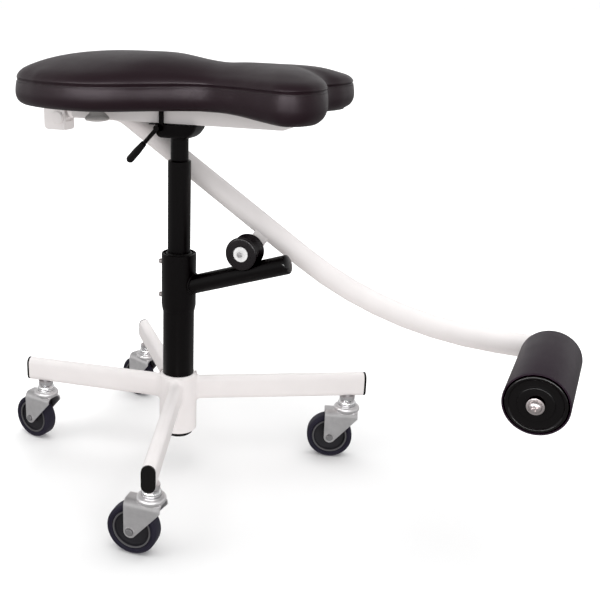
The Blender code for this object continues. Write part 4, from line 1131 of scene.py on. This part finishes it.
def turn_guide():
    """Grooved guide roller with rounded flanges, and the cross-recessed head of its axle."""
    low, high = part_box("guide_roller")
    hub_low, hub_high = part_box("guide_hub")
    middle = (low + high) / 2
    radius = (high.z - low.z) / 2
    half = (high.y - low.y) / 2
    bore = (hub_high.z - hub_low.z) / 2 + HUB_GAP
    flange = [(bore, half)] + arc(radius - FLANGE_BEND, half - FLANGE_BEND, FLANGE_BEND, 90, 0, 6)
    groove = []
    for i in range(GROOVE_STEPS + 1):
        z = RAIL_R * GROOVE_REACH * (1.0 - 2 * i / GROOVE_STEPS)
        groove.append((RAIL_R + GROOVE_R - math.sqrt(RAIL_R ** 2 - z ** 2), z))
    make_piece("guide_wheel", lathe(flange + groove + flipped(flange), turns=96), moulding("guide_moulding"),
               "guide_wheel", on_y(*middle), "guide_roller")
    profile = [(0.0, GUIDE_HEAD_FOOT)]
    profile += arc(GUIDE_HEAD_R - GUIDE_HEAD_BEND, GUIDE_HEAD_FOOT, GUIDE_HEAD_BEND, 0, 90, 4)
    profile.append((0.0, GUIDE_HEAD_TOP))
    bm = cross_recess(lathe(profile, turns=40), GUIDE_HEAD_R, GUIDE_RECESS, GUIDE_HEAD_TOP)
    make_piece("guide_screw_head", bm, bpy.data.materials["bright_zinc"], "lever",
               on_y(middle.x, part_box("guide_axle")[0].y, middle.z))


def rail_line():
    """A point and the direction of the inclined rail's axis."""
    return box_centre("rail_cap"), Vector((math.cos(RAIL_SLOPE), 0.0, math.sin(RAIL_SLOPE)))


def dome_rail():
    """Domed plug in the open end of the rail's tube."""
    direction = rail_line()[1]
    node = bpy.data.objects["rail_cap"]
    tip = max((node.matrix_world @ v.co for v in node.data.vertices), key=lambda p: p.dot(direction))
    inner = RAIL_R - PLUG_WALL
    profile = [(0.0, -PLUG_DEPTH), (inner, -PLUG_DEPTH), (inner, PLUG_FLANGE), (RAIL_R, PLUG_FLANGE)]
    for a in (math.radians(angle) for angle in PLUG_ANGLES):
        profile.append((RAIL_R * math.cos(a), PLUG_FLANGE + PLUG_DOME * math.sin(a) ** PLUG_POWER))
    profile.append((0.0, PLUG_FLANGE + PLUG_DOME))
    turn = Matrix.Rotation(math.atan2(direction.x, direction.z), 4, "Y")
    make_piece("rail_plug", lathe(profile, turns=64), moulding("glossy_moulding"), "base",
               Matrix.Translation(tip - direction * PLUG_DOME) @ turn, "rail_cap")


def mould_buffer():
    """Tapered rubber buffer between the carrier and the lever."""
    low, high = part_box("rubber_buffer")
    middle = (low + high) / 2
    radius = (high.x - low.x) / 2
    top = high.z - low.z
    profile = [(0.0, 0.0)] + [(radius * share, z) for share, z in BUFFER_PROFILE]
    profile += [(radius * BUFFER_NECK, top), (0.0, top)]
    make_piece("buffer", lathe(profile, turns=64), moulding("buffer_rubber"), "pad",
               Matrix.Translation((middle.x, middle.y, low.z)), "rubber_buffer")


def close_hinge():
    """Folded web that closes the lower end of the hinge bracket, between its cheeks."""
    low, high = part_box("hinge_bracket")
    pin = box_centre("hinge_pin")
    inner = (high.y - low.y) / 2 - CHEEK_T
    bm = block((high.x - WEB_T, pin.y - inner, low.z), (high.x, pin.y + inner, pin.z - WEB_BELOW))
    make_piece("hinge_web", bm, bpy.data.materials["white_powder_coat"], "pad", smooth=False)


def press_pan():
    """Pressed pan that takes the gas cylinder, with a lip and a strap up to the board."""
    low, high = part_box("lift_bracket")
    top = low.z + PAN_LEVELS[-1][4]
    wall = PAN_WALL
    inner = [(left + wall, right - wall, half - wall, radius - wall, depth - wall * (depth > 0))
             for left, right, half, radius, depth in PAN_LEVELS[:-1]]
    bm = bmesh.new()
    rows = []
    for left, right, half, radius, depth in (*reversed(inner), *PAN_LEVELS):
        loop = []
        for x, y, start in ((right - radius, half - radius, 0), (left + radius, half - radius, 90),
                            (left + radius, radius - half, 180), (right - radius, radius - half, 270)):
            loop += arc(x, y, radius, start, start + 90, 6)
        rows.append([bm.verts.new((AXIS.x + x, AXIS.y + y, top - depth)) for x, y in loop])
    bridge(bm, rows)
    bmesh.ops.recalc_face_normals(bm, faces=bm.faces)
    left, _, half, _, _ = PAN_LEVELS[0]
    front = AXIS.y - half
    merge(bm, block((AXIS.x + PAN_LIP_X, front, top - PAN_LIP_T),
                    (AXIS.x + left + PAN_LIP_T, AXIS.y + half, top)))
    width, sheet = STRAP_SIZE
    strap = AXIS.x + STRAP_X
    merge(bm, block((strap - width / 2, front, top - STRAP_LAP), (strap + width / 2, front + sheet, high.z)))
    pan = make_piece("lift_pan", bm, bpy.data.materials["black_powder_coat"], "pad",
                     replaced="lift_bracket")
    rounding(pan, PAN_EDGE)


def fit_small_parts(scene):
    close_hinge()
    press_pan()
    turn_guide()
    dome_rail()
    mould_buffer()


def joint_place(name):
    """Where a joint's axis passes."""
    return next(Vector(j["pos_m"]) for j in frame["joints"] if j["name"] == name)


def castor_axes(name):
    """Matrix from a castor's own axes to the frame's, its trail and its wheel's radius.

    Its own axes start on the floor under the swivel; the wheel trails along -X and turns about Y.
    """
    swivel = joint_place(f"swivel_{name}")
    back = (joint_place(f"spin_{name}") - swivel).xy
    low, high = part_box(f"tyre_{name}")
    turn = math.atan2(-back.y, -back.x)
    place = Matrix.Translation((swivel.x, swivel.y, 0.0)) @ Matrix.Rotation(turn, 4, "Z")
    return place, back.length, (high.z - low.z) / 2


def fork_shell(trail, wheel_r):
    """Pressed fork: one bent sheet with two tapered legs and a raised ring round each end of the axle."""
    top = 2 * wheel_r + FORK_ABOVE
    half = FORK_IN + FORK_SHEET
    outline = [(-trail - FORK_BACK, top), (-trail - FORK_BACK, wheel_r)]
    outline += arc(-trail, wheel_r, FORK_BACK, 180, FORK_END_ANGLE, 16)[1:]
    outline += [(FORK_FRONT, top - FORK_SHOULDER), (FORK_FRONT, top)]
    bm = slab(outline, half)
    bends = [e for e in bm.edges if all(v.co.z > top - 1e-6 for v in e.verts)
             and abs(e.verts[0].co.y - e.verts[1].co.y) < 1e-6]
    bmesh.ops.bevel(bm, geom=bends, offset=FORK_BEND, segments=9, profile=0.5, affect="EDGES")
    inner = FORK_BEND - FORK_SHEET
    ceiling = top - FORK_PLATE
    gap = [(FORK_IN, -wheel_r)] + arc(FORK_IN - inner, ceiling - inner, inner, 0, 90, 8)
    gap += [(-y, z) for y, z in reversed(gap)]
    tool = slab(gap, 3 * wheel_r)
    bmesh.ops.rotate(tool, verts=tool.verts, matrix=Matrix.Rotation(math.pi / 2, 3, "Z"))
    bm = carve(bm, tool)
    foot = half - BOSS_SUNK
    boss = [(BOSS_R - 2 * BOSS_BEAD, foot)] + arc(BOSS_R - BOSS_BEAD, half, BOSS_BEAD, 180, 0, 6)
    boss.append((BOSS_R, foot))
    merge(bm, lathe(boss, turns=40), axle_line(trail, wheel_r))
    return merge(bm, lathe(boss, turns=40), axle_line(trail, wheel_r) @ Matrix.Rotation(math.pi, 4, "X"))


def axle_line(trail, wheel_r):
    """Matrix that lays a lathe's axis along the wheel's axle."""
    return on_y(-trail, 0.0, wheel_r)


def swivel_ring(wheel_r, lower, roll, upper, turns):
    """Turned ring on the fork's top."""
    top = 2 * wheel_r + FORK_ABOVE
    return lathe([(r, top + z) for r, z in (*lower, *arc(*roll), *upper)], turns)


def tyre_skin(wheel_r):
    inner = wheel_r - TYRE_DEPTH
    half = [(inner + rise, TYRE_HALF - inset) for rise, inset in TYRE_SIDE]
    half += arc(wheel_r - TREAD_CLEAR - TYRE_BEND, TYRE_HALF - TYRE_BEND, TYRE_BEND, 88, 22, 6)
    half.append((wheel_r - TREAD_CLEAR, TREAD_FLAT))
    return lathe(half + flipped(half), turns=112)


def wheel_disc(wheel_r):
    """Moulded wheel: a lipped rim, a thin web and a long hub."""
    rim = wheel_r - TYRE_DEPTH - RIM_GAP
    bend = WHEEL_HUB_BEND
    half = [(AXLE_R, WHEEL_HUB_HALF)] + arc(WHEEL_HUB_R - bend, WHEEL_HUB_HALF - bend, bend, 90, 0, 3)
    for centre, start in ((WHEEL_HUB_R + WEB_BEND, 180), (rim - RIM_WALL - WEB_BEND, 270)):
        half += arc(centre, WEB_HALF + WEB_BEND, WEB_BEND, start, start + 90, 4)
    half += arc(rim - RIM_INSET, RIM_HALF, RIM_BEND, 170, 10, 6)
    half.append((rim, RIM_HALF - RIM_DROP))
    return lathe(half + flipped(half), turns=96)


def rim_lips(wheel_r):
    """Raised rings at the edge of the wheel's two faces, in a lighter moulding than the wheel: a painted
    highlight along the rim's edge.
    """
    middle = wheel_r - TYRE_DEPTH - RIM_GAP - RIM_INSET
    ring = arc(middle, RIM_HALF, LIP_BEND, 170, 10, 6)
    ring += [(middle + LIP_HALF, RIM_HALF - LIP_SUNK), (middle - LIP_HALF, RIM_HALF - LIP_SUNK)]
    return merge(lathe(ring, turns=96), lathe(flipped(ring), turns=96))


def finish_castors(scene):
    settings = scene.lifter_castors
    zinc = plated("zinc_plating", settings.zinc, rough=0.46)
    bright = plated("bright_plating", settings.bright, rough=0.20, cloud_size=0.006)
    tyre = moulded("tyre_rubber_finish", settings.tyre, 0.50, 0.0012, 0.10, 0.14)
    core = moulded("core_moulding", settings.core, 0.48, 0.0006, 0.15, 0.25)
    # The lighter rim lip moulding is a painted highlight along the rim's edge.
    lip = moulded("lip_moulding", settings.lip, 0.42, 0.0006, 0.15, 0.35)
    for name in CASTORS:
        place, trail, wheel_r = castor_axes(name)
        axle = place @ axle_line(trail, wheel_r)
        skirt = swivel_ring(wheel_r, SKIRT_LOWER, SKIRT_ROLL, SKIRT_UPPER, 72)
        race = swivel_ring(wheel_r, RACE_LOWER, RACE_ROLL, RACE_UPPER, 64)
        pieces = (("fork_shell", fork_shell(trail, wheel_r), zinc, "zinc", "castor", "fork"),
                  ("swivel_skirt", skirt, zinc, "zinc", "castor", None),
                  ("swivel_race", race, bright, "zinc", "castor", None),
                  ("tyre_skin", tyre_skin(wheel_r), tyre, "tyre_rubber", "wheel", "tyre"),
                  ("rim_lips", rim_lips(wheel_r), lip, "grey_plastic", "wheel", None),
                  ("wheel_disc", wheel_disc(wheel_r), core, "grey_plastic", "wheel", "wheel_core"))
        for title, bm, material, slot, body, replaced in pieces:
            ob = make_piece(f"{title}_{name}", bm, material, f"{body}_{name}",
                            place if body == "castor" else axle, replaced and f"{replaced}_{name}")
            if slot == "zinc":
                rounding(ob, settings.edge)


def weld_collar(scene):
    """Rippled bead where the rail's tube meets the round collar."""
    cap, direction = rail_line()
    across = Vector((-direction.z, 0.0, direction.x))
    side = Vector((0.0, 1.0, 0.0))
    points = []
    for a in (math.tau * i / BEAD_POINTS for i in range(BEAD_POINTS)):
        on_line = cap + RAIL_R * (math.cos(a) * across + math.sin(a) * side)
        rel = on_line - AXIS
        b = rel.x * direction.x
        qa = direction.x ** 2
        qc = rel.x ** 2 + rel.y ** 2 - COLLAR_R ** 2
        t = (-b + math.sqrt(max(b * b - qa * qc, 0.0))) / qa
        points.append(on_line + direction * t)
    bm = bmesh.new()
    rings = []
    for i, p in enumerate(points):
        along = (points[(i + 1) % BEAD_POINTS] - points[i - 1]).normalized()
        level = level - along * level.dot(along) if rings else along.orthogonal()
        level.normalize()
        swell = scene.lifter_paint.bead * (1.0 + BEAD_RIPPLE * math.sin(i * math.tau / RIPPLE_POINTS))
        rings.append(circle(bm, p, level, along.cross(level), swell, BEAD_SIDES))
    bridge(bm, rings, closed=True)
    bmesh.ops.recalc_face_normals(bm, faces=bm.faces)
    make_piece("rail_weld", bm, bpy.data.materials["black_powder_coat"], "base")


def weld_section(corner, off_arm, out, hub_r, radius):
    """Hollow quarter round from the hub's surface to the arm's, closed behind its corner."""
    centre = corner + radius * (off_arm + out)
    ring = []
    for i in range(WELD_ARC_STEPS + 1):
        a = math.pi / 2 * i / WELD_ARC_STEPS
        p = centre - radius * (math.cos(a) * out + math.sin(a) * off_arm)
        flat = (p - AXIS).xy
        sunk = (hub_r - WELD_SUNK) / flat.length
        p.xy = AXIS.xy + flat * (1.0 + math.cos(a) ** 2 * (sunk - 1.0))
        ring.append(p)
    ring[-1] -= WELD_SUNK * off_arm
    ring.append(corner - WELD_ROOT * (off_arm + out))
    return ring


def weld_arm(name, hub_r, radius):
    """Smooth hollow weld where an arm meets the hub tube."""
    cap_low, cap_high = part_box(f"arm_cap_{name}")
    middle = (cap_low + cap_high) / 2
    out = Vector((*(middle - AXIS).xy, 0.0)).normalized()
    side = Vector((-out.y, out.x, 0.0))
    reach = (cap_high.z - cap_low.z) / 2 - ARM_HALF_W
    half = [(ARM_HALF_W * math.cos(a), reach + ARM_HALF_W * math.sin(a), math.cos(a), math.sin(a))
            for a in (math.pi * i / ARM_WELD_STEPS for i in range(ARM_WELD_STEPS + 1))]
    bm = bmesh.new()
    rings = []
    for y, z, ny, nz in half + [(-y, -z, -ny, -nz) for y, z, ny, nz in half]:
        x = math.sqrt(hub_r ** 2 - y ** 2)
        corner = Vector((AXIS.x, AXIS.y, middle.z)) + x * out + y * side + z * UP
        section = weld_section(corner, ny * side + nz * UP, out, hub_r, radius)
        rings.append([bm.verts.new(p) for p in section])
    bridge(bm, rings, closed=True)
    bmesh.ops.recalc_face_normals(bm, faces=bm.faces)
    make_piece(f"weld_arm_{name}", bm, bpy.data.materials["white_powder_coat"], "base")


def lay_welds(scene):
    weld_collar(scene)
    low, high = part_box("base_hub")
    for name in CASTORS:
        weld_arm(name, (high.x - low.x) / 2, scene.lifter_paint.arm_weld)


def place_camera(scene):
    data = bpy.data.cameras.new("camera")
    data.lens = CAMERA_LENS
    data.sensor_width = 36.0
    data.shift_x, data.shift_y = CAMERA_SHIFT
    data.clip_start = 0.05
    camera = bpy.data.objects.new("camera", data)
    camera.location = AXIS + CAMERA_FROM_AXIS
    camera.rotation_euler = (math.pi / 2 + CAMERA_PITCH, 0.0, CAMERA_TURN)
    scene.collection.objects.link(camera)
    scene.camera = camera


def studio_walls(settings):
    """Pale walls all round, dimmer towards the ceiling and below the floor's level."""
    s = Shader("studio_walls", "worlds")
    height = s.add("ShaderNodeSeparateXYZ", None, {"Vector": s.add("ShaderNodeTexCoord")["Generated"]})["Z"]
    middle = (1.0 + settings.ceiling) / 2
    stops = ((0.30, settings.under), (0.470, 0.6 * middle), (0.485, 1.0), (0.51, 1.0), (0.53, 0.84),
             (0.68, middle), (0.90, settings.ceiling))
    shade = s.ramp(0.5 + 0.5 * height, [(position, grey(level)) for position, level in stops])
    walls = s.add("ShaderNodeBackground", None, {"Color": shade, "Strength": settings.ambient})
    s.add("ShaderNodeOutputWorld", None, {"Surface": walls["Background"]})
    return s.data


def floor_paper(settings):
    """Pale paper that glows a little further out, so that it stays as light as near the lifter."""
    s = Shader("floor_paper")
    distance = s.add("ShaderNodeVectorMath", {"operation": "LENGTH"}, {0: s.place()})["Value"]
    shares = ((0.035, 0.0), (0.055, 0.4), (0.09, 0.7), (0.30, 1.0))
    stops = [(position, grey(share * settings.glow)) for position, share in shares]
    return s.finish({
        "Emission Color": s.ramp(0.1 * distance, stops),
        "Emission Strength": 1.0,
        "Base Color": s.blend(s.noise(0.9), scaled(settings.floor, 0.99), settings.floor),
        "Roughness": 0.75 + 0.1 * s.noise(0.004, 3.0),
        "Specular IOR Level": 0.2,
    })


def lay_floor(settings):
    """Floor that shows and takes shadows, and neither mirrors nor lights the lifter from below."""
    bm = bmesh.new()
    bmesh.ops.create_grid(bm, x_segments=8, y_segments=8, size=FLOOR_SIZE)
    floor = place_mesh("floor", bm)
    floor.location.z = -FLOOR_DROP
    floor.data.materials.append(floor_paper(settings))
    floor.visible_glossy = False
    floor.visible_diffuse = False
    floor.visible_shadow = False


def area_light(name, place, target, size, power):
    lamp = bpy.data.lights.new(name, "AREA")
    lamp.shape = "RECTANGLE"
    lamp.size, lamp.size_y = size
    lamp.energy = power
    ob = bpy.data.objects.new(name, lamp)
    ob.location = place
    ob.rotation_euler = (Vector(target) - Vector(place)).to_track_quat("-Z", "Y").to_euler()
    bpy.context.scene.collection.objects.link(ob)
    return ob


def hang_lights(scene, settings):
    """Soft lights all round, and a long one that draws the sheen on a few pieces alone."""
    for name, (place, target, size, setting, share) in SOFT_LIGHTS.items():
        light = area_light(name, place, target, size, share * getattr(settings, setting))
        light.visible_glossy = False
        if setting == "bounce":
            light.data.color = settings.shade
    strip = area_light("strip_light", *STRIP_LIGHT, settings.strip)
    sheen = bpy.data.collections.new("strip_lit")
    for ob in scene.objects:
        if ob.name.startswith(STRIP_LIT):
            sheen.objects.link(ob)
    strip.light_linking.receiver_collection = sheen


def build_stage(scene):
    settings = scene.lifter_studio
    view = scene.view_settings
    view.view_transform = "Standard"
    view.look = "None"
    view.exposure = settings.exposure
    view.use_curve_mapping = True
    view.curve_mapping.black_level = grey(settings.blacks)
    scene.world = studio_walls(settings)
    lay_floor(settings)
    hang_lights(scene, settings)
    place_camera(scene)


class LIFTER_OT_white(Operator):
    """White powder coat on the base, lever, hinge and carrier"""
    bl_idname = "lifter.white"
    bl_label = "Coat White Parts"
    bl_options = {"REGISTER", "UNDO"}

    def execute(self, context):
        finish_white(context.scene)
        return {"FINISHED"}


class LIFTER_OT_black(Operator):
    """Black powder coat on the column, the collar and the release lever"""
    bl_idname = "lifter.black"
    bl_label = "Coat Black Parts"
    bl_options = {"REGISTER", "UNDO"}

    def execute(self, context):
        finish_black(context.scene)
        return {"FINISHED"}


class LIFTER_OT_plastics(Operator):
    """Plastic, nylon and board finishes"""
    bl_idname = "lifter.plastics"
    bl_label = "Finish Mouldings"
    bl_options = {"REGISTER", "UNDO"}

    def execute(self, context):
        finish_plastics(context.scene)
        return {"FINISHED"}


class LIFTER_OT_metals(Operator):
    """Steel and zinc on the rod, the screws, the axle, the stems and the wheel bolts"""
    bl_idname = "lifter.metals"
    bl_label = "Finish Fasteners"
    bl_options = {"REGISTER", "UNDO"}

    def execute(self, context):
        finish_metals(context.scene)
        return {"FINISHED"}


class LIFTER_OT_fittings(Operator):
    """Hinge web, pressed pan, guide roller, rail plug and rubber buffer"""
    bl_idname = "lifter.fittings"
    bl_label = "Model Small Fittings"
    bl_options = {"REGISTER", "UNDO"}

    def execute(self, context):
        fit_small_parts(context.scene)
        return {"FINISHED"}


class LIFTER_OT_castors(Operator):
    """Pressed forks, swivels, tyres and wheels of the castors"""
    bl_idname = "lifter.castors"
    bl_label = "Model Castors"
    bl_options = {"REGISTER", "UNDO"}

    def execute(self, context):
        finish_castors(context.scene)
        return {"FINISHED"}


class LIFTER_OT_cushion(Operator):
    """Two-lobed cushion with its seam and stitching"""
    bl_idname = "lifter.cushion"
    bl_label = "Sew Cushion"
    bl_options = {"REGISTER", "UNDO"}

    def execute(self, context):
        sew_cushion(context.scene)
        return {"FINISHED"}


class LIFTER_OT_roller(Operator):
    """Padded cover, end cap and bolt of the leg roller"""
    bl_idname = "lifter.roller"
    bl_label = "Pad Leg Roller"
    bl_options = {"REGISTER", "UNDO"}

    def execute(self, context):
        pad_roller(context.scene)
        return {"FINISHED"}


class LIFTER_OT_welds(Operator):
    """Weld bead between the rail and its collar, and hollow welds between the arms and the hub"""
    bl_idname = "lifter.welds"
    bl_label = "Lay Welds"
    bl_options = {"REGISTER", "UNDO"}

    def execute(self, context):
        lay_welds(context.scene)
        return {"FINISHED"}


class LIFTER_OT_stage(Operator):
    """Floor, lights and camera"""
    bl_idname = "lifter.stage"
    bl_label = "Set the Stage"
    bl_options = {"REGISTER", "UNDO"}

    def execute(self, context):
        build_stage(context.scene)
        return {"FINISHED"}


class LIFTER_PT_panel(Panel):
    """Settings and operators of the leg lifter"""
    bl_idname = "LIFTER_PT_panel"
    bl_label = "Leg Lifter"
    bl_space_type = "VIEW_3D"
    bl_region_type = "UI"
    bl_category = "Leg Lifter"

    def draw(self, context):
        for group_name in GROUPS:
            settings = getattr(context.scene, group_name)
            for name in settings.bl_rna.properties.keys():
                if name not in ("rna_type", "name"):
                    self.layout.prop(settings, name)
        for operator in OPERATORS:
            self.layout.operator(operator.bl_idname)


GROUPS = {"lifter_cushion": CushionSettings, "lifter_paint": PaintSettings, "lifter_castors": CastorSettings,
          "lifter_roller": RollerSettings, "lifter_studio": StudioSettings}
OPERATORS = (LIFTER_OT_white, LIFTER_OT_black, LIFTER_OT_plastics, LIFTER_OT_metals, LIFTER_OT_fittings,
             LIFTER_OT_castors, LIFTER_OT_cushion, LIFTER_OT_roller, LIFTER_OT_welds, LIFTER_OT_stage)


def register():
    for cls in (*GROUPS.values(), *OPERATORS, LIFTER_PT_panel):
        bpy.utils.register_class(cls)
    for name, cls in GROUPS.items():
        setattr(bpy.types.Scene, name, PointerProperty(type=cls))


def unregister():
    for name in GROUPS:
        delattr(bpy.types.Scene, name)
    for cls in reversed((*GROUPS.values(), *OPERATORS, LIFTER_PT_panel)):
        bpy.utils.unregister_class(cls)


def main():
    register()
    for operator in OPERATORS:
        group, name = operator.bl_idname.split(".")
        getattr(getattr(bpy.ops, group), name)()


if __name__ == "__main__":
    main()
